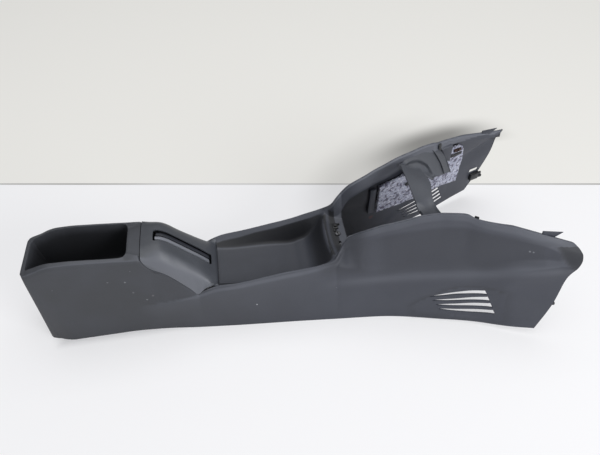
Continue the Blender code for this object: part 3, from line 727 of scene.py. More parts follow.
@dataclass(frozen=True)
class StudioPaint:
    """Matt paint of the floor and of the wall behind it, with the soft shadow on the wall."""

    name: str = "matt_floor_paint"
    color: str = "#fafafc"
    beyond: str = "#f0efeb"
    seam: str = "#8f8d88"
    cloud_m: float = 0.5
    line_normal: Point = (0.1932, 0.9812, 0.0)
    line_m: float = 0.3197
    line_width_m: float = 0.0028
    shadow: str = "#5c5b59"
    shadow_start: Point = (0.2722, 0.3372, 0.0)
    shadow_axis: Point = (0.9657, 0.2598, 0.0)
    shadow_length: float = 0.3322
    shadow_bow: float = 0.861
    shadows: tuple[SoftShadow, ...] = (
        SoftShadow(0.085, (-0.08, 0.16), (0.4, 0.22), 0.75), SoftShadow(0.17, (-0.3, -0.1), (0.3, 0.05), 0.24))
    overlit: float = 0.5
    glow: float = 0.945
    under_middle_m: float = 0.02
    under_half_m: Span = (0.08, 0.095)
    under_front_m: Span = (0.17, 0.2)
    under_rear_m: Span = (-0.46, -0.48)

    def material(self) -> Material:
        """Build the node material, with the change of tone behind the console.

        Returns:
            The material.
        """
        made = Nodes(self.name)
        away = made.vector("DOT_PRODUCT", made.spot, self.line_normal).outputs["Value"]
        tone = made.blend(made.ramp(away, self.line_m, self.line_m + 0.004), self.color, self.beyond)
        patch = made.ramp(made.noise(1 / self.cloud_m, 2.0), 0.35, 0.65, 0.25, 0.8)
        near = made.math("COMPARE", away, self.line_m, self.line_width_m)
        tone = made.blend(made.math("MULTIPLY", near, patch), tone, self.seam)
        local = made.vector("SUBTRACT", made.spot, self.shadow_start).outputs[0]
        along, across = (made.vector("DOT_PRODUCT", local, axis).outputs["Value"] for axis in
                         (self.shadow_axis, (-self.shadow_axis[1], self.shadow_axis[0], 0.0)))
        bow = made.math("MULTIPLY", along, made.math("SUBTRACT", self.shadow_length, along))
        above = made.math("SUBTRACT", across, made.math("MULTIPLY", bow, self.shadow_bow))
        behind = made.ramp(above, -0.05, -0.02)
        for part in self.shadows:
            share = made.math("MULTIPLY", behind, made.ramp(above, part.reach, part.reach * 0.2, soft=True))
            for low, high in (part.grow, part.fade):
                share = made.math("MULTIPLY", share, made.ramp(along, low, high, soft=True))
            tone = made.blend(made.math("MULTIPLY", share, part.depth), tone, self.shadow)
        # The sheet is overlit in the picture, so the camera sees it partly by its own glow,
        # but not below the console, where the floor stays in shadow.
        flat = made.axes(made.spot)
        beside = made.math("ABSOLUTE", made.math("SUBTRACT", flat["Y"], self.under_middle_m))
        ends = made.math("MAXIMUM", made.ramp(flat["X"], *self.under_front_m),
                         made.ramp(flat["X"], *self.under_rear_m))
        open_ground = made.math("MAXIMUM", made.ramp(beside, *self.under_half_m), ends)
        seen = made.math("MULTIPLY", made.add("LightPath").outputs["Is Camera Ray"], self.overlit)
        paint = made.add("BsdfPrincipled", {"Base Color": tone, "Roughness": 0.85, "Specular IOR Level": 0.2})
        glow = made.add("Emission", {"Color": tone, "Strength": self.glow})
        return made.close({0: made.math("MULTIPLY", seen, open_ground), 1: paint.outputs[0],
                           2: glow.outputs[0]}, "MixShader")


# ---- the main moulding ----


@dataclass(frozen=True)
class Profile:
    """Sizes of one line of the console, read off at stations along its length."""

    rows: tuple[tuple[float, ...], ...]

    def at(self, x: float, column: int = 1) -> float:
        """Smooth value at a station, without overshoot between the rows.

        Args:
            x: Station.
            column: Which value of the rows.

        Returns:
            The value.
        """
        xs, ys = ([row[k] for row in self.rows] for k in (0, column))
        if not xs[0] < x < xs[-1]:
            return ys[0] if x <= xs[0] else ys[-1]
        slopes = [(ys[i + 1] - ys[i]) / (xs[i + 1] - xs[i]) for i in range(len(xs) - 1)]
        inner = [0.0 if a * b <= 0 else 2 * a * b / (a + b) for a, b in zip(slopes, slopes[1:])]
        tangents = [slopes[0], *inner, slopes[-1]]
        i = max(k for k in range(len(slopes)) if xs[k] <= x)
        span = xs[i + 1] - xs[i]
        t = (x - xs[i]) / span
        return ((2 * t ** 3 - 3 * t ** 2 + 1) * ys[i] + (t ** 3 - 2 * t ** 2 + t) * span * tangents[i]
                + (3 * t ** 2 - 2 * t ** 3) * ys[i + 1] + (t ** 3 - t ** 2) * span * tangents[i + 1])

    def point(self, x: float) -> Point:
        """Point at a station, where the rows hold a distance from the middle and a height."""
        return x, self.at(x, 1), self.at(x, 2)


class Zone(Enum):
    """Stretches of the console that have different cross-sections."""

    REAR = 0
    EDGE = 1
    BIN = 2
    DECK = 3
    TRIM = 4
    WELL = 5
    SHELF = 6
    CHEEK = 7


@dataclass
class ConsoleShell:
    """The long moulding: side walls, bin, deck, tray, rear flange and the two cheeks."""

    wall: float = 2.5
    bin_floor_z: float = 112.0
    rear_lean: float = 0.044
    rear_top_z: float = 192.0
    rear_corner_y: float = 40.0
    rear_rim: tuple[float, ...] = (30.0, 23.0, 15.0, 8.0, 0.0)
    bin_front_x: float = 175.0
    deck_end_x: float = 203.0
    well_start_x: float = 331.0
    shelf_start_x: float = 560.0
    shelf_end_x: float = 586.0
    shelf_z: float = 140.0
    rim_bow: float = 8.0
    rim_bow_half: float = 60.0
    crown_land: float = 6.0
    crown_land_drop: float = 1.5
    step_mm: float = 7.5
    trim_step_mm: float = 5.0
    wall_hollow: float = 1.5
    cheek_hollow: float = 5.5
    slit_x: Span = (568.0, 573.0)
    slit_y: Span = (19.0, 26.0)
    slit_z: Span = (120.0, 160.0)
    notch: tuple[float, ...] = (905.0, 927.0, 160.0, 215.0, 86.0, 98.0)
    hole_x: float = 570.0
    hole_radius: float = 3.6
    crease: Profile = Profile((
        (165, 72), (173, 73), (195, 75.5), (224, 80), (254, 86), (290, 91), (331, 107), (371, 112), (417, 118),
        (485, 127), (545, 139)))
    crease_swell: float = 4.6
    crease_reach: Span = (8.0, 36.0)
    nose: Profile = Profile(((160, 950), (173, 944), (179, 935.5), (189, 928), (200, 922), (212, 915)))
    nose_swell: float = 2.2
    nose_reach: Span = (9.0, 5.0)
    brow: Profile = Profile((
        (676, 26), (682, 33), (700, 47), (717, 60), (730, 70), (752, 84), (777, 95), (827, 101), (870, 99)))
    ridge_light: Profile = Profile((
        (482, 83), (559, 95), (670, 108), (740, 118), (808, 129), (868, 151), (928, 165.5)))
    chamfer: Profile = Profile((
        (600, 190), (632, 201), (666, 212), (700, 219.5), (733, 226), (765, 230), (797, 228), (828, 225), (860, 222),
        (892, 218), (925, 215)))
    rim_light: Profile = Profile(((0, 196), (20, 203), (51, 207), (101, 200.5), (134, 196), (168, 192), (203, 190)))
    bottom: Profile = Profile((
        (-8, 42, 0), (6, 50.5, 0), (32, 57, 0), (140, 57, 0), (200, 60.5, 0), (278, 70.5, 0), (357, 79.5, 0),
        (477, 91, 0), (557, 99.5, 0), (640, 108.5, 0), (670, 114.5, 1), (707, 125.5, 3.5), (750, 138.5, 5.5),
        (780, 147.5, 7.2), (815, 160, 9.5), (850, 176, 12.6), (880, 188, 16), (910, 199, 20)))
    crown: Profile = Profile((
        (-8, 40, 192), (-4.5, 46.5, 193), (0, 48.5, 194), (20, 48.7, 200), (33, 49, 205.5), (50, 49.5, 208.5),
        (70, 49.5, 208.5), (102, 49.5, 206), (136, 49.5, 202.5), (170, 49.5, 198.5), (203, 49.5, 194.5),
        (208, 50, 179), (216, 51, 168), (228, 53, 161), (239, 54, 153), (254, 56, 137), (269, 58, 118),
        (280, 59.5, 104), (290, 60.5, 89), (298, 61, 97), (310, 61.5, 104), (331, 63.5, 112), (345, 65.5, 114.5),
        (371, 67, 116), (417, 67, 122), (448, 67, 127), (485, 68.5, 131.5), (523, 71, 138.5), (545, 71, 144),
        (552, 70, 147), (560, 64, 156), (570, 56, 172), (578, 56, 186), (590, 61, 196), (604, 65.5, 205),
        (620, 68, 212), (637, 70.5, 219), (655, 75, 226), (675, 78.5, 233), (701, 83, 243), (718, 86, 247),
        (735, 89.5, 250), (752, 95, 252), (765, 98.5, 252.5), (779, 102.5, 252), (790, 109, 246), (800, 114, 244.5),
        (811, 118.5, 243), (832, 125.5, 240.5), (850, 131, 239), (870, 136.5, 237), (898, 144, 232.5),
        (925, 151.5, 222), (949, 163, 213)))
    ridge_z: Profile = Profile((
        (-8, 62), (173, 73), (230, 72), (290, 66), (331, 75), (417, 85), (485, 95), (523, 112), (545, 128),
        (552, 133), (600, 118), (670, 108), (705, 112), (741, 118.5), (800, 126), (835, 137), (870, 151),
        (900, 162), (953, 176)))
    ridge_start_x: float = 552.0
    ridge_y: Profile = Profile((
        (552, 75), (600, 88), (640, 95.5), (670, 101.5), (705, 109), (741, 118), (770, 126), (800, 134.5),
        (835, 149), (870, 164.5), (900, 175), (953, 189.6)))
    shoulder: Profile = Profile((
        (-8, 7, 2.0, 22, 2.6), (203, 7, 2.0, 22, 2.6), (216, 5, 0.7, 12, 1.6), (290, 4, 0.8, 10, 1.8),
        (331, 3, 1.8, 9, 3.6), (545, 3, 1.8, 9, 3.6), (570, 6, 3.0, 18, 6.0), (604, 10, 5.0, 26, 9.0),
        (752, 12, 5.0, 28, 8.0), (928, 11, 6.0, 25, 13.0)))
    inner: Profile = Profile((
        (0, 34, 195), (2.5, 36.5, 196), (8, 37.4, 199), (20, 38.5, 203), (33, 39.8, 208), (50, 41.1, 211),
        (70, 42, 211), (102, 42.6, 209), (136, 43, 205.3), (166, 43, 202.3), (175, 40.5, 201.7), (179, 34, 201.4),
        (203, 43, 200), (331, 57, 105), (345, 59, 106), (371, 60.5, 107), (417, 61, 115), (448, 60.5, 118.5),
        (485, 62.5, 124), (523, 64.5, 130.5), (545, 65, 139.5), (552, 63.5, 145.5), (560, 57.5, 152),
        (570, 49, 167), (578, 49.5, 183), (586, 53.5, 190.5)))
    bin_lean: Profile = Profile((
        (2.5, 0.12), (8, 0.115), (20, 0.06), (33, 0.02), (50, 0.0), (166, 0.0), (175, -0.03)))
    deck_top: Profile = Profile(((179, 201.5), (203, 201)))
    floor: Profile = Profile((
        (331, 50, 95), (345, 50, 92), (371, 50, 89), (417, 50, 87), (448, 50, 84), (475, 50, 80.5), (485, 50.5, 81),
        (495, 51, 84), (511, 52, 89), (526, 54, 103), (538, 56, 117), (545, 57.5, 131), (552, 58, 143)))
    flange: Profile = Profile((
        (552, 55, 143), (560, 50, 142.5), (570, 44.5, 142), (578, 44, 145), (586, 47, 153), (594, 52, 164),
        (604, 56.5, 174), (620, 58.5, 182), (637, 60.5, 190), (655, 65.5, 196), (675, 69.5, 201), (701, 75, 212),
        (718, 78, 219), (735, 82, 225), (752, 87, 229), (765, 90.5, 231), (779, 94.5, 232), (790, 100.5, 231),
        (800, 105, 231), (811, 110, 230.5), (832, 117.5, 229), (850, 123.5, 227), (870, 129, 226),
        (898, 136.5, 222), (925, 144, 212)))
    front_edge: tuple[Point, ...] = (
        (910, 199, 20), (932, 193.5, 82), (945, 184.5, 142), (954, 190, 175), (960, 186.5, 189), (960, 180, 201),
        (956, 172, 207), (949, 163, 213), (946, 158, 212), (943, 153, 203))
    stations: tuple[float, ...] = (
        -4.5, 0, 2.5, 8, 20, 33, 50, 70, 102, 136, 166, 175, 179, 203, 208, 216, 228, 239, 254, 269, 280, 290, 298,
        310, 331, 345, 371, 400, 430, 460, 485, 495, 511, 526, 538, 545, 552, 560, 570, 578, 586, 594, 604, 620, 637,
        655, 675, 701, 718, 735, 752, 765, 779, 790, 800, 811, 832, 850)
    front_steps: int = 12
    crease_range: Range = (165.0, 235.0, 470.0, 590.0)
    nose_range: Range = (165.0, 176.0, 198.0, 210.0)
    # How deep the painted shade is and how strong the painted highlights are, with the stations of each tone on the
    # outside.
    skin: float = 1.6
    bin_dark: float = 0.75
    tray_dark: float = 0.85
    seam_dark: float = 0.95
    cheek_dark: float = 0.5
    nose_dark: float = 0.62
    turn_dark: float = 0.3
    turn_range: Range = (505.0, 550.0, 590.0, 625.0)
    scoop_dark: Span = (0.22, 0.24)
    scoop_range: Range = (676.0, 705.0, 840.0, 876.0)
    band_dark: float = 0.2
    band_range: Range = (590.0, 660.0, 880.0, 925.0)
    shelf_pale: float = 0.45
    flange_pale: float = 0.85
    ridge_pale: float = 0.34
    ridge_range: Range = (500.0, 600.0, 925.0, 945.0)
    chamfer_pale: float = 0.14
    crease_pale: float = 0.26
    crease_pale_range: Range = (160.0, 215.0, 480.0, 600.0)
    rim_pale: float = 0.04
    kept_lines: dict[int, tuple[list[float], list[float]]] = field(default_factory=dict)
    nose_columns: list[Column] = field(default_factory=list)
    row_shares: dict[int, Span] = field(
        default_factory=lambda: {6: (0.3, 0.8), 7: (0.14, 0.86), 8: (0.08, 0.5)})

    def zone(self, x: float) -> Zone:
        """Stretch that a station belongs to.

        Args:
            x: Station.

        Returns:
            The zone.
        """
        if x <= 0:
            return Zone.REAR if x < 0 else Zone.EDGE
        reached = ((x <= self.bin_front_x, Zone.BIN), (x <= self.deck_end_x, Zone.DECK),
                   (x < self.well_start_x, Zone.TRIM), (x < self.shelf_start_x, Zone.WELL),
                   (x <= self.shelf_end_x, Zone.SHELF))
        return next((zone for inside, zone in reached if inside), Zone.CHEEK)

    def side_rows(self, x: float) -> list[Point]:
        """Rows 0 to 7 of the side wall, from its foot to the crown.

        Args:
            x: Station.

        Returns:
            Eight points.
        """
        foot, crown = self.bottom.point(x), self.crown.point(x)
        drop6, out6, drop5, out5 = (self.shoulder.at(x, column) for column in (1, 2, 3, 4))
        row6 = (x, crown[1] + out6, crown[2] - drop6)
        row5 = (x, crown[1] + out5, crown[2] - drop5)
        height = min(self.ridge_z.at(x), row5[2] - 8)
        share = (height - foot[2]) / (row5[2] - foot[2])
        straight = foot[1] + (row5[1] - foot[1]) * share + 0.8
        ridge = (x, straight if x < self.ridge_start_x else self.ridge_y.at(x), height)
        row4 = mix(ridge, row5, 0.42)
        if x > 600:
            hollow = (self.cheek_hollow - self.wall_hollow) * window(x, *HOLLOW)
            row4 = (x, row4[1] - self.wall_hollow - hollow, row4[2])
        return [foot, mix(foot, ridge, 0.33), mix(foot, ridge, 0.7), ridge, row4, row5, row6, crown]

    def rim(self, x: float) -> Point:
        """Row 8, the inner edge of the rim."""
        if x <= self.shelf_end_x:
            return self.inner.point(x)
        return x, self.crown.at(x, 1) - self.crown_land, self.crown.at(x, 2) - self.crown_land_drop

    def bowed(self, y: float) -> float:
        """Share of the bow that the tray's front wall has at a distance from the middle."""
        return 1 - (y / self.rim_bow_half) ** 2

    def bin_rows(self, x: float) -> list[Point]:
        """Rows 9 to 13 down the inside of the bin and over its floor.

        Args:
            x: Station.

        Returns:
            Five points.
        """
        _, half, top = self.rim(x)
        floor, depth, lean = self.bin_floor_z, top - self.bin_floor_z, self.bin_lean.at(x)
        floor_x = x + lean * depth * 1.3
        return [(x + lean * 20, half - 1, top - 20), (x + lean * depth, half - 3, floor + 7),
                (floor_x, half - 9, floor), (floor_x, half * 0.45, floor), (floor_x, 0.0, floor)]

    def deck_rows(self, x: float) -> list[Point]:
        """Rows 9 to 13 over the deck between the bin and the trim."""
        half, top = self.rim(x)[1], self.deck_top.at(x)
        return [(x, half * share, top + lift) for share, lift in
                ((0.86, -0.6), (0.66, 1.0), (0.44, 1.6), (0.22, 1.9), (0.0, 2.0))]

    def well_rows(self, x: float) -> list[Point]:
        """Rows 9 to 13 down into the tray, bowing back at its front wall.

        Args:
            x: Station.

        Returns:
            Five points.
        """
        rim = self.rim(x)
        _, half, floor = self.floor.point(x)
        low = (x, half, min(floor + 6, (floor + rim[2]) / 2))
        rows = [mix(rim, low, 0.5), low, (x, half - 6, floor + 0.6), (x, half * 0.45, floor - 0.8),
                (x, 0.0, floor - 1.2)]
        bow = self.rim_bow * min(1.0, max(0.0, (x - 526) / 26))
        return [(p[0] - bow * self.bowed(p[1]), p[1], p[2]) for p in rows]

    def shelf_rows(self, x: float) -> list[Point]:
        """Rows 9 to 13 over the flange in front of the tray."""
        bow = self.rim_bow * 0.4 if x < 565 else 0.0
        return [self.flange.point(x)] + [(x - bow * self.bowed(half), half, self.shelf_z + rise) for half, rise in
                                         ((39.0, 1.2), (31.0, 0.0), (18.0, 0.0), (0.0, 0.0))]

    def rear_cap(self) -> Column:
        """Rear corner column, whose top rows run along the rear rim to the middle."""
        wall = [(-8.5 - self.rear_lean * (self.rear_top_z - z), self.rear_corner_y, z)
                for _, _, z in self.side_rows(-8)]
        return wall + [(-8.0, 36.0, 193.2)] + [(-8.0, y, 193.5) for y in self.rear_rim]

    def section(self, x: float) -> Column:
        """All rows at a station; None marks an opening.

        Args:
            x: Station.

        Returns:
            Fourteen entries.
        """
        rows: Column = list(self.side_rows(x))
        zone = self.zone(x)
        if zone in (Zone.REAR, Zone.EDGE):
            lean, edge, top = ((self.rear_lean, (x, 38.0, 194.2), 194.4) if zone is Zone.REAR
                               else (self.rear_lean * 0.5, self.rim(x), 195.0))
            rows = [(p[0] - lean * (self.rear_top_z - p[2]), p[1], p[2]) for p in rows]
            return rows + [edge] + [(x, y, top) for y in self.rear_rim]
        if zone is Zone.TRIM:
            # A narrow ledge below the trim closes its seam from below.
            return rows + [(x, rows[7][1] - 7.0, rows[7][2] - 6.0)] + [None] * 5
        if zone is Zone.CHEEK:
            return rows + [self.rim(x), self.flange.point(x)] + [None] * 4
        inside = {Zone.BIN: self.bin_rows, Zone.DECK: self.deck_rows, Zone.WELL: self.well_rows,
                  Zone.SHELF: self.shelf_rows}
        return rows + [self.rim(x)] + inside[zone](x)

    def front_section(self, share: float) -> Column:
        """Column between the last station and the slanted front edge.

        Args:
            share: 0 at the last station, 1 at the front edge.

        Returns:
            Fourteen entries.
        """
        last = self.section(self.stations[-1])
        rows: Column = [mix(start, end, share) for start, end in zip(last, self.front_edge)]
        if share < 1:
            rows[0] = self.bottom.point(rows[0][0])
            x = rows[3][0]
            rows[3] = (x, self.ridge_y.at(x), self.ridge_z.at(x))
        return rows + [None] * 4

    def between(self, a: float, b: float) -> list[Column]:
        """Columns strictly between two stations.

        Args:
            a: Rear station.
            b: Front station.

        Returns:
            The columns, closer together where a wall stands between the two.
        """
        zones = (self.zone(a), self.zone(b))
        if Zone.TRIM in zones or zones[0] is zones[1]:
            count = math.ceil((b - a) / (self.trim_step_mm if Zone.TRIM in zones else self.step_mm))
            return [self.section(a + (b - a) * k / count) for k in range(1, count)]
        shares = (0.06, 0.35, 0.65, 0.94) if Zone.BIN in zones else QUARTERS[1:]
        start, end = self.section(a), self.section(b)
        return [[None if p is None or q is None else mix(p, q, t) for p, q in zip(start, end)] for t in shares]

    def refine(self, column: Column) -> Column:
        """Add two rows in each gap, curved on the side wall and straight elsewhere.

        Args:
            column: Fourteen entries.

        Returns:
            Forty entries.
        """
        made: Column = []
        for row, (a, b) in enumerate(zip(column, column[1:])):
            made.append(a)
            for t in self.row_shares.get(row, (0.3, 0.7)):
                if a is None or b is None:
                    made.append(None)
                else:
                    made.append(spline(column, row, t) if row < 5 else mix(a, b, t))
        return made + [column[-1]]

    def columns(self) -> list[Column]:
        """Every refined column from the rear corner to the front edge.

        Returns:
            The columns.
        """
        cap, first = self.rear_cap(), self.section(self.stations[0])
        rough = [cap, [mix(p, q, 0.5) for p, q in zip(cap, first)]]
        for a, b in zip(self.stations, self.stations[1:]):
            rough += [self.section(a), *self.between(a, b)]
        rough += [self.section(self.stations[-1])]
        rough += [self.front_section((k + 1) / self.front_steps) for k in range(self.front_steps)]
        return [self.refine(column) for column in rough]

    def wall_line(self, x: float) -> list[Sequence[float]]:
        """Rows 0 to 7 of the outer wall at any station, up to the nose.

        Args:
            x: Station.

        Returns:
            Eight points.
        """
        if x <= self.stations[-1]:
            return self.side_rows(x)
        if not self.nose_columns:
            self.nose_columns += [self.front_section(k / self.front_steps) for k in range(self.front_steps + 1)]
        lines = [[column[index] for column in self.nose_columns] for index in range(8)]
        return [[float(np.interp(x, [p[0] for p in line], [p[k] for p in line])) for k in range(3)]
                for line in lines]

    def side_y(self, x: float, z: float) -> float:
        """Half width of the outer side wall at a station and height."""
        rows = self.wall_line(x)
        return float(np.interp(z, [p[2] for p in rows], [p[1] for p in rows]))

    def outer_y(self, x: float, z: float) -> float:
        """Half width of the outer wall from lines kept for every whole millimetre.

        Args:
            x: Station.
            z: Height.

        Returns:
            Half width in millimetres.
        """
        key = round(x)
        if key not in self.kept_lines:
            rows = self.wall_line(key)
            self.kept_lines[key] = ([p[2] for p in rows], [p[1] for p in rows])
        return float(np.interp(z, *self.kept_lines[key]))

    def off_wall(self, x: float, z: float, depth: float, side: Side) -> Point:
        """Point at a depth behind the outer face of a side wall.

        Args:
            x: Station.
            z: Height.
            depth: Distance inwards in millimetres.
            side: Which wall.

        Returns:
            The station point.
        """
        along = (self.side_y(x + 6, z) - self.side_y(x - 6, z)) / 12
        up = (self.side_y(x, z + 8) - self.side_y(x, z - 8)) / 16
        normal = Vector((-along, 1.0, -up)).normalized()
        return x - normal.x * depth, (self.side_y(x, z) - normal.y * depth) * side.value, z - normal.z * depth

    def block(self, ring: Sequence[Span], deep: float, shallow: Span, side: Side, radius: float) -> BMesh:
        """Rounded block between two depths behind the outer face of a side wall.

        Args:
            ring: Station and height of its four corners, the lower two first.
            deep: Depth of its inner face.
            shallow: Depth of its outer face at the lower and at the upper corners.
            side: Which wall.
            radius: Edge rounding.

        Returns:
            The block.
        """
        low = [self.off_wall(x, z, deep, side) for x, z in ring]
        high = [self.off_wall(x, z, shallow[k // 2], side) for k, (x, z) in enumerate(ring)]
        return hexahedron(low + high, radius)

    def sheet(self) -> BMesh:
        """Visible side of the whole moulding before it has a wall.

        Returns:
            The sheet.
        """
        columns = self.columns()
        corner = columns[0]
        patch = [[(p[0], point[1], p[2]) for p in corner[:21]] + [point] for point in corner[21:]]
        return mirrored(gather(sheet_from(columns), sheet_from(patch)))

    def swelling(self, spot: Point) -> float:
        """How far the side wall swells under the crease that climbs to the tray's rim.

        Args:
            spot: Station, distance from the middle and height.

        Returns:
            Length outwards in millimetres.
        """
        x, y, z = spot
        below = self.crease.at(x) - z
        if not 160 < x < 600 or below <= 0 or y < self.side_y(x, z) - 2:
            return 0.0
        rise, fade = self.crease_reach
        share = window(x, *self.crease_range) * smooth_step(0, 30, z)
        return self.crease_swell * share * (1 - math.exp(-below / rise)) * math.exp(-below / fade)

    def folding(self, spot: Point) -> float:
        """How far the nose of a cheek is pressed into a crease with a forward facet.

        Args:
            spot: Station, distance from the middle and height.

        Returns:
            Length outwards in millimetres.
        """
        x, y, z = spot
        if x < 890 or not 165 < z < 212 or y < 150:
            return 0.0
        away = x - self.nose.at(z)
        ridge = math.exp(-abs(away) / self.nose_reach[0 if away < 0 else 1])
        return self.nose_swell * ridge * window(z, *self.nose_range)

    def under_brow(self, x: float, z: float) -> float:
        """Distance below the brow line over the vents."""
        slope = (self.brow.at(x + 3) - self.brow.at(x - 3)) / 6
        return (self.brow.at(x) - z) / math.hypot(1.0, slope)

    def build(self, vents: "CheekVents") -> Object:
        """Moulding with its wall and all of its openings.

        Args:
            vents: The louvres cut into both cheeks.

        Returns:
            The piece.
        """
        shell = soften(to_object("console_shell", self.sheet()), 1)
        for amount in (self.swelling, self.folding, partial(vents.sinking, self)):
            shift(shell, amount)
        wall_up(shell, self.wall)
        tool = bmesh.new()
        for side in Side:
            ends = sorted(y * side.value for y in self.slit_y)
            gather(tool, vents.tool(self, side), straight_block(*self.slit_x, *ends, *self.slit_z))
        low, high = ((self.hole_x, 0, z) for z in self.slit_z)
        gather(tool, straight_block(*self.notch, 2.0), round_bar(low, high, self.hole_radius))
        carve(shell, tool)
        # Painted shade and painted highlights are stored on the points for the material.
        for name, share in (("painted_shade", self.painted_shade_share), ("highlight_share", self.highlight_share)):
            layer = shell.data.attributes.new(name, "FLOAT", "POINT")
            layer.data.foreach_set("value", [share(station_of(vert.co)) for vert in shell.data.vertices])
        return shade(shell, 38)

    def painted_shade_share(self, spot: Point) -> float:
        """How much painted shade a point gets in the bin, tray, seams, hollows and front facet.

        Args:
            spot: Station, distance from the middle and height.

        Returns:
            0 outside, towards 1 deep in the bin and the tray.
        """
        x, y, z = spot
        _, half, top = self.rim(min(max(x, 0.0), self.shelf_end_x))
        below = top - z
        if -4 < x < 183 and y < half + 4:
            return self.bin_dark * smooth_step(2, 26, below)
        if self.well_start_x - 30 < x < 548 and y < half + 1.5:
            front = smooth_step(500, 530, x)
            wall = max(smooth_step(40, 50, y), front) * max(smooth_step(1.5, 4.0, z - self.floor.at(x, 2)), front)
            return self.tray_dark * smooth_step(0.3, 3.0, below) * wall * (1 - 0.15 * front)
        crown_y = self.crown.at(x, 1)
        if self.deck_end_x < x < self.well_start_x and y < crown_y - 0.6:
            return self.seam_dark * smooth_step(0.6, 2.0, crown_y - y)
        if 548 <= x < 571.5 and y < 54 and z < 156:
            line = x + self.rim_bow * 0.6 * self.bowed(y)
            return self.tray_dark * (smooth_step(561, 563, line) if line > 560 else 1 - smooth_step(555, 558, line))
        if 571 <= x < 760 and y < self.outer_y(x, z) - self.skin and z < self.flange.at(x, 2) - 1:
            open_below = z < self.shelf_z - 3 or x > self.shelf_end_x
            return self.cheek_dark * (1 - smooth_step(630, 720, x)) if open_below else 0.0
        if x > 905 and y > 150 and 168 < z < 209:
            return self.nose_dark * smooth_step(-2, 9, x - self.nose.at(z))
        if not 500 < x < 930 or y < self.outer_y(x, z) - self.skin:
            return 0.0
        turn = self.turn_dark * window(x, *self.turn_range) * smooth_step(108, 130, z)
        scoop = 0.0
        if 676 < x < 880 and z < 108:
            inside = self.under_brow(x, z)
            deep, edge = self.scoop_dark
            scoop = deep * smooth_step(0, 8, inside) + edge * math.exp(-((inside - 3) / 5) ** 2)
            scoop *= window(x, *self.scoop_range)
        if x > 590:
            band = smooth_step(4, 16, z - self.ridge_light.at(x)) * (1 - smooth_step(-8, 0, z - self.chamfer.at(x)))
            turn += self.band_dark * band * window(x, *self.band_range)
        return turn + scoop

    def highlight_share(self, spot: Point) -> float:
        """How much painted highlight pales a point on lit ridges, chamfers, creases, rims, the shelf and the flange.

        Args:
            spot: Station, distance from the middle and height.

        Returns:
            Share of the pale tone.
        """
        x, y, z = spot
        if y <= self.outer_y(x, z) - self.skin:
            if 571.5 < x < self.shelf_end_x + 1 and z > self.shelf_z - 1 and y < 56:
                return self.shelf_pale
            on_flange = x > self.shelf_end_x and z > self.flange.at(x, 2) + 1
            return self.flange_pale * smooth_step(590, 640, x) if on_flange else 0.0
        share = 0.0
        if x > 500:
            above = z - self.ridge_light.at(x)
            off = above / (11.0 if above < 0 else 8.0)
            share += self.ridge_pale * math.exp(-off * off) * window(x, *self.ridge_range)
            share += self.chamfer_pale * smooth_step(-4, 3, z - self.chamfer.at(x)) * smooth_step(600, 650, x)
        if 160 < x < 620:
            below = self.crease.at(x) - z
            fading = smooth_step(-1.0, 1.5, below) * math.exp(-max(below, 0) / 32)
            share += self.crease_pale * fading * window(x, *self.crease_pale_range)
        if x < 200:
            share += self.rim_pale * smooth_step(-1.5, 1.5, z - self.rim_light.at(x))
        return share


@dataclass(frozen=True)
class CheekVents:
    """Four louvres low in each cheek, narrow at the rear and open at the front."""

    slots: tuple[tuple[Point, ...], ...] = (
        ((726, 58.4, 60.6), (748, 62.8, 68.4), (772, 69.5, 76.5), (798, 74.5, 84.0), (823, 80.0, 90.0)),
        ((733, 48.6, 50.8), (754, 50.6, 55.8), (774, 53.7, 60.0), (801, 59.3, 67.8), (829, 65.6, 76.0)),
        ((739.5, 37.8, 40.0), (759, 38.6, 44.0), (778, 40.4, 47.6), (806, 44.8, 54.4), (835, 51.0, 61.4)),
        ((745, 27.6, 29.8), (763, 26.4, 31.6), (780, 26.4, 33.4), (806, 28.6, 38.2), (841, 35.8, 45.6)))
    front_slant: float = 2.5
    reach: float = 14.0
    sunk: float = 3.0
    sunk_range: Range = (676.0, 715.0, 836.0, 876.0)

    def tool(self, shell: ConsoleShell, side: Side) -> BMesh:
        """Cutters of one cheek.

        Args:
            shell: The moulding they cut.
            side: Which cheek.

        Returns:
            Closed bars, one for each louvre.
        """
        tool = bmesh.new()
        for slot in self.slots:
            rings: list[Column] = []
            for x, low, high in run(slot, (0.0, 0.33, 0.67)):
                slant = self.front_slant if x == slot[-1][0] else 0.0
                corners = ((slant, low, -self.reach), (-slant, high, -self.reach), (-slant, high, self.reach),
                           (slant, low, self.reach))
                rings.append([(x + lean, (shell.side_y(x, z) + reach) * side.value, z) for lean, z, reach in corners])
            gather(tool, bar_from(rings))
        return tool

    def sinking(self, shell: ConsoleShell, spot: Point) -> float:
        """How far the wall moves in the soft scoop behind the louvres.

        Args:
            shell: Sizes of the moulding.
            spot: Station, distance from the middle and height.

        Returns:
            Length outwards in millimetres, so 0 or less.
        """
        x, y, z = spot
        if not 676 < x < 880 or z > 106 or y < shell.side_y(x, z) - 9:
            return 0.0
        share = smooth_step(0, 12, shell.under_brow(x, z)) * window(x, *self.sunk_range)
        return -self.sunk * share * smooth_step(6, 26, z)


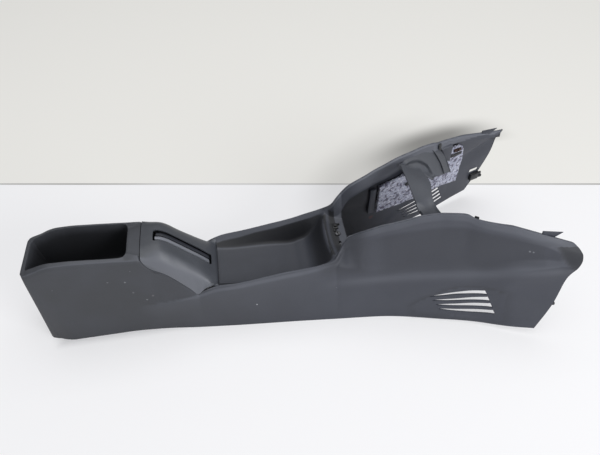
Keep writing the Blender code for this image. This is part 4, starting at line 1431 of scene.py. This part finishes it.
@dataclass
class Crossbar:
    """Arched bar between the cheeks, lighter than them, with a flared foot at each end."""

    front: tuple[Point, ...] = (
        (742, 0, 246), (736, 30, 246), (735, 46, 241), (746, 55, 222),
        (768, 62, 199), (785, 75, 187), (805, 90, 176), (826, 107, 165))
    rear: tuple[Point, ...] = (
        (700, 0, 252), (700, 45, 251), (704, 60, 246), (708, 69, 238),
        (714, 77, 236), (733, 84.8, 244.5), (765, 94, 247), (790, 104.3, 240.5))
    wall: float = 3.2
    crest: float = 3.5
    crest_share: float = 0.62
    sink: float = 4.0
    flare_y: float = 80.0
    shares: tuple[float, ...] = (0.0, 0.08, 0.2, 0.35, 0.5, 0.65, 0.8, 0.92, 1.0)
    neck: Profile = Profile(((700, 60), (710, 67), (721, 74.6), (732, 77.8), (749, 81), (763, 81.3),
                             (771, 79), (776, 73), (779, 66), (783, 60)))
    neck_depth: float = 4.5

    def across(self, rear: Point, front: Point) -> Column:
        """Curve from the rear edge over the crest to the front edge.

        Args:
            rear: Point on the rear edge.
            front: Point on the front edge.

        Returns:
            Points of the curve.
        """
        flare = min(1.0, rear[1] / self.flare_y)
        split = self.crest_share
        x, y, z = mix(rear, front, split)
        crest = (x, y - self.sink * flare, z + self.crest * (1 - flare) - self.sink * flare)
        knots = (rear, crest, front)
        return [spline(knots, 0, share / split) if share < split else spline(knots, 1, (share - split) / (1 - split))
                for share in self.shares]

    def build(self) -> Object:
        """Bar with its wall.

        Returns:
            The piece.
        """
        places = [self.across(rear, front) for rear, front in zip(self.rear, self.front)]
        # The mirrored place ahead of the first keeps the curve level in the middle.
        places.insert(0, [(x, -y, z) for x, y, z in places[1]])
        lines = [run(knots)[len(QUARTERS):] for knots in zip(*places)]
        sheet = mirrored(sheet_from([list(column) for column in zip(*lines)]))
        bar = soften(to_object("crossbar", sheet), 2)
        raise_points(bar, self.dive)
        return shade(wall_up(bar, self.wall), 40)

    def dive(self, spot: Vector) -> float:
        """How far the bar dives below its feet, so that an arched step shows where they meet."""
        x, y, _ = station_of(spot)
        return -self.neck_depth * window(self.neck.at(x) - y, -0.8, 2.2, 2.2, 17) * smooth_step(50, 60, y)


@dataclass
class BrakeTrim:
    """Saddle insert between the deck and the tray, with the slot for the brake lever."""

    top: Profile = Profile((
        (203, 203.5), (216, 205.5), (228, 206.5), (238, 205), (248, 199), (263, 184), (287, 158), (303, 140.5),
        (320, 120), (328, 110), (333, 106)))
    shoulder: Profile = Profile((
        (203, 44, 3), (208, 47, 7.5), (216, 48, 12.5), (228, 48.5, 17), (248, 49, 21.5), (263, 49, 22.5),
        (287, 50, 19.5), (303, 50, 15), (320, 50, 8.5), (333, 50, 3)))
    start_x: float = 204.5
    last_x: float = 329.2
    end_x: float = 330.7
    steps: int = 30
    foot_z: float = 96.0
    wall: float = 2.5
    seam_gap: Span = (1.5, 0.5)
    seam_inset: float = 3.4
    slot_x: Span = (227.0, 321.0)
    slot_y: Span = (-15.5, 12.0)
    slot_z: Span = (89.5, 214.5)
    slot_corner: float = 4.0
    lip_depth: float = 5.0
    lip_steps: int = 24
    lip_crest: float = 0.9
    lip_degrees: tuple[float, ...] = (0, 20, 45, 70, 90, 110, 135, 160, 180)

    def rows(self, x: float, shell: ConsoleShell) -> Column:
        """Half section from the middle to the seam.

        Args:
            x: Station.
            shell: The moulding that the trim sits in.

        Returns:
            Points, closer together where the section turns.
        """
        top, half, drop = self.top.at(x), self.shoulder.at(x, 1), self.shoulder.at(x, 2)
        wide, narrow = self.seam_gap
        gap = wide - (wide - narrow) * smooth_step(276, 290, x)
        _, edge, height = shell.crown.point(x)
        seam = (x, edge - self.seam_inset * smooth_step(298, 303, x), height + gap)
        corner = (x, half, top - drop)
        lower = mix(corner, seam, 0.5)
        return run([(x, 0.0, top), (x, 16.0, top - 0.5), (x, half * 0.56, top - drop * 0.1),
                    (x, half * 0.79, top - drop * 0.4), corner, (x, lower[1] + 1.0, lower[2]), seam])

    def build(self, shell: ConsoleShell) -> Object:
        """Trim with its wall and slot.

        Args:
            shell: The moulding that the trim sits in.

        Returns:
            The piece.
        """
        length = self.last_x - self.start_x
        columns = [self.rows(self.start_x + length * k / self.steps, shell) for k in range(self.steps + 1)]
        skirt: Column = []
        for row, (x, y, z) in enumerate(self.rows(self.end_x, shell)):
            low = self.foot_z if row <= 16 else z - (3.0 if row <= 20 else 0.0)
            skirt.append((x, y, min(z, low)))
        columns += [[mix(p, q, 0.4) for p, q in zip(columns[-1], skirt)], skirt]
        trim = soften(to_object("brake_lever_trim", mirrored(sheet_from(columns))), 1)
        tool = straight_block(*self.slot_x, *self.slot_y, *self.slot_z)
        upright = [edge for edge in tool.edges if abs(edge.verts[0].co.z - edge.verts[1].co.z) > 0.1]
        round_edges(tool, upright, self.slot_corner, 6)
        return shade(carve(wall_up(trim, self.wall), tool), 36)

    def lip(self, name: str, near: float, far: float, rise: float) -> Object:
        """Rounded bar that closes one side of the slot.

        Args:
            name: Name of the piece.
            near: Its lower y.
            far: Its higher y.
            rise: Height over the trim.

        Returns:
            The piece.
        """
        start, end = self.slot_x[0] + self.slot_corner, self.slot_x[1] - self.slot_corner
        middle, half = (near + far) / 2, (far - near) / 2
        rings: list[Column] = []
        for k in range(self.lip_steps + 1):
            x = start + (end - start) * k / self.lip_steps
            crest = self.top.at(x) + rise
            ring: Column = [(x, y, crest - self.lip_depth) for y in (near, far)]
            for angle in map(math.radians, self.lip_degrees):
                ring.append((x, middle + half * math.cos(angle), crest + self.lip_crest * (math.sin(angle) - 1)))
            rings.append(ring)
        return piece(name, bar_from(rings), 50)


@dataclass
class FeltPads:
    """Needled felt pads behind the cheeks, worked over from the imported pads."""

    voxel: float = 1.7
    tuft: float = 0.55
    cloud: float = 0.7
    settle: float = -0.3
    inset: float = 4.0

    def loft(self, spot: Vector) -> float:
        """Height of the tufted surface at a point."""
        tuft, cloud = noise.fractal(spot * 260, 1.0, 2.0, 3), noise.noise(spot * 45)
        return tuft * self.tuft + cloud * self.cloud + self.settle

    def build(self, side: Side) -> Object:
        """One pad with a tufted surface.

        Args:
            side: Which cheek.

        Returns:
            The piece.
        """
        packed = bpy.data.objects["felt_pad_" + side.label]
        shape = bmesh.new()
        shape.from_mesh(packed.data)
        bmesh.ops.transform(shape, matrix=packed.matrix_world, verts=shape.verts)
        bmesh.ops.remove_doubles(shape, verts=shape.verts, dist=WELD / 2)
        bmesh.ops.recalc_face_normals(shape, faces=shape.faces)
        pad = modify(to_object("needled_felt_" + side.label, shape), "REMESH", mode="VOXEL",
                     voxel_size=self.voxel * MM)
        raise_points(pad, self.loft)
        shift(pad, lambda spot: -self.inset * window(spot[0], *HOLLOW))
        pad.data.shade_smooth()
        return pad


@dataclass
class Fixings:
    """Clips, pins and the screw that hold the console in the car."""

    felt_face: float = 14.4
    seat: float = 3.1
    clip_depth: float = 7.0
    clip_x: float = 908.0
    pin: Span = (726.0, 168.0)
    nut: Span = (836.0, 211.0)
    top_x: float = 794.0
    screw_x: float = 570.0
    shelf_z: float = 140.3
    strap_ring: tuple[Span, ...] = ring_of(822, 848, 193, 200)

    def felt_pin(self, shell: ConsoleShell, side: Side) -> Object:
        """Push pin with a dished head on the felt."""
        base, top = (shell.off_wall(*self.pin, self.felt_face + lift, side) for lift in (0.3, 2.3))
        return piece("push_pin_" + side.label, round_bar(base, top, 5.0, 4.0, 32, 0.5))

    def edge_clip(self, shell: ConsoleShell, side: Side) -> Object:
        """Spring clip with two prongs on the front edge of a cheek.

        Args:
            shell: The moulding.
            side: Which cheek.

        Returns:
            The piece.
        """
        middle = 74.0 if side is Side.FAR else 82.0
        parts = []
        for rear, front, low, high, inset, radius in (
                (0, 22, -10, 9, 0.0, 0.8), (17, 32, -8, -2, 1.5, 0.6), (17, 29, 2, 8, 1.5, 0.6)):
            ring = ring_of(self.clip_x + rear, self.clip_x + front, middle + low, middle + high)
            outer = self.seat + inset
            parts.append(shell.block(ring, self.seat + self.clip_depth - inset, (outer, outer), side, radius))
        return piece("spring_clip_" + side.label, gather(*parts))

    def nut_clip(self, shell: ConsoleShell, side: Side) -> Object:
        """Folded sheet nut with its hole.

        Args:
            shell: The moulding.
            side: Which cheek.

        Returns:
            The piece.
        """
        x, z = self.nut
        depth = self.felt_face + 0.3
        plate = shell.block(ring_of(x - 8, x + 8, z - 5, z + 5), depth + 2.5, (depth, depth), side, 0.5)
        start, end = (shell.off_wall(x, z, depth + reach, side) for reach in (-1, 6))
        return shade(carve(to_object("sheet_nut_" + side.label, plate), round_bar(start, end, 2.6)), 40)

    def top_clip(self, shell: ConsoleShell, side: Side) -> Object:
        """Small retainer under the top flange of a cheek.

        Args:
            shell: The moulding.
            side: Which cheek.

        Returns:
            The piece.
        """
        low, high = [], []
        for end, depth in ((-3.0, 3.0), (3.0, 3.0), (3.0, 0.0), (-3.0, 0.0)):
            x, edge, top = shell.rim(self.top_x + end)
            y = edge - 0.6 - depth
            low.append((x, (y - edge + shell.flange.at(x, 1)) * side.value, top - 10))
            high.append((x, y * side.value, top + 2.4))
        return piece("flange_retainer_" + side.label, hexahedron(low + high, 0.5))

    def strap(self, shell: ConsoleShell, side: Side) -> Object:
        """Dark strap across the narrow upper end of the felt."""
        depth = self.felt_face - 0.4
        return piece("felt_strap_" + side.label,
                     shell.block(self.strap_ring, depth + 1.6, (depth, depth), side, 0.6))

    def plate_clip(self) -> Object:
        """Black clip on the flange beside the screw, with a bent arm and a stud."""
        z = self.shelf_z
        return piece("flange_clip", gather(
            straight_block(564, 574, 13, 27, z, z + 2.4, 0.8), straight_block(566, 571, 17, 23, z + 2.7, z + 6, 1.0),
            round_bar((576, 24, z), (576, 24, z + 4), 2.0, 1.6, 20, 0.3),
            straight_block(563.5, 568, 7.5, 12.2, z, z + 2.2, 0.5)))

    def screw(self) -> Object:
        """Pan head screw with a cross recess, in the flange behind the shifter opening.

        Returns:
            The piece.
        """
        x, z = self.screw_x, self.shelf_z
        body = gather(round_bar((x, 0, z), (x, 0, z + 3.2), 6.0, 4.6, 40, 0.5),
                      round_bar((x, 0, z - 12), (x, 0, z + 0.4), 2.4))
        cross = gather(straight_block(x - 2.6, x + 2.6, -0.5, 0.5, z + 1.6, z + 5),
                       straight_block(x - 0.5, x + 0.5, -2.6, 2.6, z + 1.4, z + 5))
        return shade(carve(to_object("flange_screw_head", body), cross, use_self=True), 35)


@dataclass
class InnerDetails:
    """Ribs, pointed tabs, rims with the band between them, and webs, all moulded onto the shell."""

    rib_ring: tuple[Span, ...] = ring_of(650, 663, 92, 170)
    rib_depth: float = 9.5
    web_ring: tuple[Span, ...] = ((816, 188), (821, 186), (821, 236), (793, 236))
    web_depth: float = 15.6
    tab: tuple[Point, ...] = (
        (897, 143, 221), (914, 147, 217), (914, 150.5, 217), (897, 146.5, 221),
        (897, 142, 231.5), (931, 149, 230), (931, 150.6, 230), (897, 145, 231.5))
    outer: tuple[Point, ...] = (
        (791, 107.4, 241.4), (798, 107.6, 231), (804.5, 107.8, 220), (812, 108, 206), (817, 107.8, 192),
        (822, 107.6, 178), (827, 107.4, 165))
    inner: tuple[Point, ...] = (
        (765, 95, 246.2), (777, 95.6, 239), (783, 94, 232), (791, 94, 218), (797, 94, 206), (803, 92, 192),
        (807, 91, 178))

    def rib(self, shell: ConsoleShell, side: Side) -> Object:
        """Upright rib beside the felt pad."""
        return piece("wall_rib_" + side.label, shell.block(self.rib_ring, self.rib_depth, (1.4, 3.0), side, 0.8))

    def web(self, shell: ConsoleShell, side: Side) -> Object:
        """Web between the foot of the crossbar and the upper end of the felt."""
        return piece("foot_gusset_" + side.label, shell.block(self.web_ring, self.web_depth, (3.0, 3.0), side, 0.6))

    def fin(self, side: Side) -> Object:
        """Pointed tab that stands out of the front of the crown."""
        return piece("pointed_tab_" + side.label, hexahedron([(x, y * side.value, z) for x, y, z in self.tab], 0.5))

    def rims(self, side: Side) -> list[Object]:
        """Double raised rim outside the foot of the crossbar, with the band between the two.

        Args:
            side: Which cheek.

        Returns:
            The two beads and the band.
        """
        columns = [[(x, y * side.value, z) for x, y, z in (low, mix(low, high, 0.5), high)]
                   for low, high in zip(self.inner, self.outer)]
        band = wall_up(to_object("foot_band_" + side.label, sheet_from(columns)), 1.0)
        beads = [bead("foot_rim_" + side.label, self.outer, 1.3, side),
                 bead("foot_step_" + side.label, self.inner, 1.0, side)]
        return [shade(rim, 60) for rim in (*beads, band)]


# ---- studio ----


@dataclass(frozen=True)
class PhotoCamera:
    """Camera that stands where the photograph was taken."""

    location: Point = (-0.0511, -0.7696, 0.9729)
    right: Point = (0.98854, -0.14434, -0.04422)
    up: Point = (0.1344, 0.70806, 0.69325)
    forward: Point = (0.06875, 0.69125, -0.71934)
    lens: float = 35.246
    sensor: float = 36.0

    def build(self) -> None:
        """Make the camera and hand it to the scene."""
        data = bpy.data.cameras.new("photo_camera")
        data.lens = self.lens
        data.sensor_width = self.sensor
        camera = bpy.data.objects.new("photo_camera", data)
        turn = Matrix((self.right, self.up, [-v for v in self.forward])).transposed().to_4x4()
        camera.matrix_world = Matrix.Translation(self.location) @ turn
        bpy.context.scene.collection.objects.link(camera)
        bpy.context.scene.camera = camera


@dataclass(frozen=True)
class Lamp:
    """Rectangular area light that faces the console: place and size in metres, power in watts."""

    name: str
    spot: Point
    size: Span
    power: float
    target: Point = (0.0, 0.0, 0.1)

    def build(self) -> None:
        """Make the light."""
        data = bpy.data.lights.new(self.name, "AREA")
        data.shape = "RECTANGLE"
        data.size, data.size_y = self.size
        data.energy = self.power
        holder = bpy.data.objects.new(self.name, data)
        holder.location = self.spot
        holder.rotation_euler = (Vector(self.target) - Vector(self.spot)).to_track_quat("-Z", "Y").to_euler()
        bpy.context.scene.collection.objects.link(holder)


@dataclass
class Studio:
    """Plain pale floor and three soft lights: one large overhead, a low strip and a window."""

    sky: str = "#f6f7f9"
    sky_level: float = 0.3
    floor_size: float = 14.0
    lamps: tuple[Lamp, ...] = (
        Lamp("overhead", (0.0, 0.2, 3.2), (3.4, 3.4), 68.0), Lamp("strip", (0.2, -2.7, 0.42), (4.5, 0.5), 10.0),
        Lamp("window", (1.9, -2.2, 1.5), (1.5, 1.3), 48.0))

    def build(self) -> None:
        """Make the floor, the lights and the backdrop colour."""
        plane = bmesh.new()
        bmesh.ops.create_grid(plane, x_segments=1, y_segments=1, size=self.floor_size / 2)
        floor = to_object("studio_floor", plane)
        dress(floor, StudioPaint().material())
        for lamp in self.lamps:
            lamp.build()
        world = bpy.data.worlds.new("studio_sky")
        bpy.context.scene.world = world
        world.use_nodes = True
        background = world.node_tree.nodes["Background"]
        background.inputs["Color"].default_value = linear(self.sky)
        background.inputs["Strength"].default_value = self.sky_level
        bpy.context.scene.view_settings.view_transform = "Standard"


def main() -> None:
    """Build every sub-assembly in order."""
    logging.basicConfig(level=logging.INFO, format="%(message)s")
    shell = ConsoleShell()
    marks = tuple(Mark(tuple(place((x, shell.side_y(x, z), z), side.value)), radius, color, strength)
                  for side, x, z, radius, color, strength in SCUFFS)
    # The finishes carry painted highlights and a painted cool reflection in different strengths; the trim has the
    # strongest highlight, on its flank.
    body = GrainedPolypropylene("grained_polypropylene", "#393b40", "#4d5058", marks=marks).material()
    bar = GrainedPolypropylene("grained_polypropylene_bar", "#484b51", "#5a5d64", specks=0.2,
                               painted_highlight="#666971", highlight_strength=0.2, reflection_share=0.3).material()
    saddle = GrainedPolypropylene("grained_polypropylene_trim", "#404348", "#565961", 0.46, specks=0.2,
                                  painted_highlight="#6e7179", highlight_strength=0.66, bend=(0.3, 0.84), lift=(-0.1, 0.12)).material()
    # Pale copy with a painted highlight, for the lit near slot lip.
    lip = GrainedPolypropylene("moulded_polypropylene_lip_painted_highlight", "#7a7d85", "#8b8e96", roughness=0.4).material()
    # Dark copy with painted shade, for the far slot lip and the pointed tabs in shadow.
    shaded_plastic = GrainedPolypropylene("moulded_polypropylene_painted_shade", "#23252c", "#2c2e36", specks=0.0,
                                    highlight_strength=0.0).material()
    felt = NeedleFelt().material()
    nylon = MouldedNylon().material()
    spring = PlatedSteel("phosphated_spring_steel", "#4a3a34", "#2e1c17").material()
    zinc = PlatedSteel("zinc_plated_steel", "#77787b", "#3f3e3c", 0.46).material()

    deliver(shell.build(CheekVents()), body, "console_body", "console_body")
    deliver(Crossbar().build(), bar, "console_body")
    trim = BrakeTrim()
    deliver(trim.build(shell), saddle, "brake_trim", "brake_trim")
    deliver(trim.lip("slot_frame_near", -11.1, -4.4, -1.0), lip, "slot_lip", "slot_lip_near")
    deliver(trim.lip("slot_frame_far", 4.5, 11.7, -8.0), shaded_plastic, "slot_lip", "slot_lip_far")
    pads, fixings, details = FeltPads(), Fixings(), InnerDetails()
    for side in Side:
        pad = deliver(pads.build(side), felt, "felt", "felt_pad_" + side.label)
        deliver(fixings.felt_pin(shell, side), nylon, "black_clip", "felt_pin_" + side.label)
        deliver(fixings.edge_clip(shell, side), nylon, "black_clip", "edge_clip_" + side.label)
        deliver(fixings.nut_clip(shell, side), spring, "nut_clip", "nut_clip_" + side.label)
        deliver(fixings.strap(shell, side), nylon, "black_clip")
        deliver(fixings.top_clip(shell, side), nylon, "black_clip", "top_clip_" + side.label)
        deliver(details.rib(shell, side), body, "console_body")
        deliver(details.fin(side), shaded_plastic, "console_body")
        deliver(details.web(shell, side), body, "console_body")
        for rim in details.rims(side):
            deliver(rim, bar, "console_body")
    deliver(fixings.plate_clip(), nylon, "black_clip")
    deliver(fixings.screw(), zinc, "screw", "flange_screw")

    Studio().build()
    PhotoCamera().build()


if __name__ == "__main__":
    main()
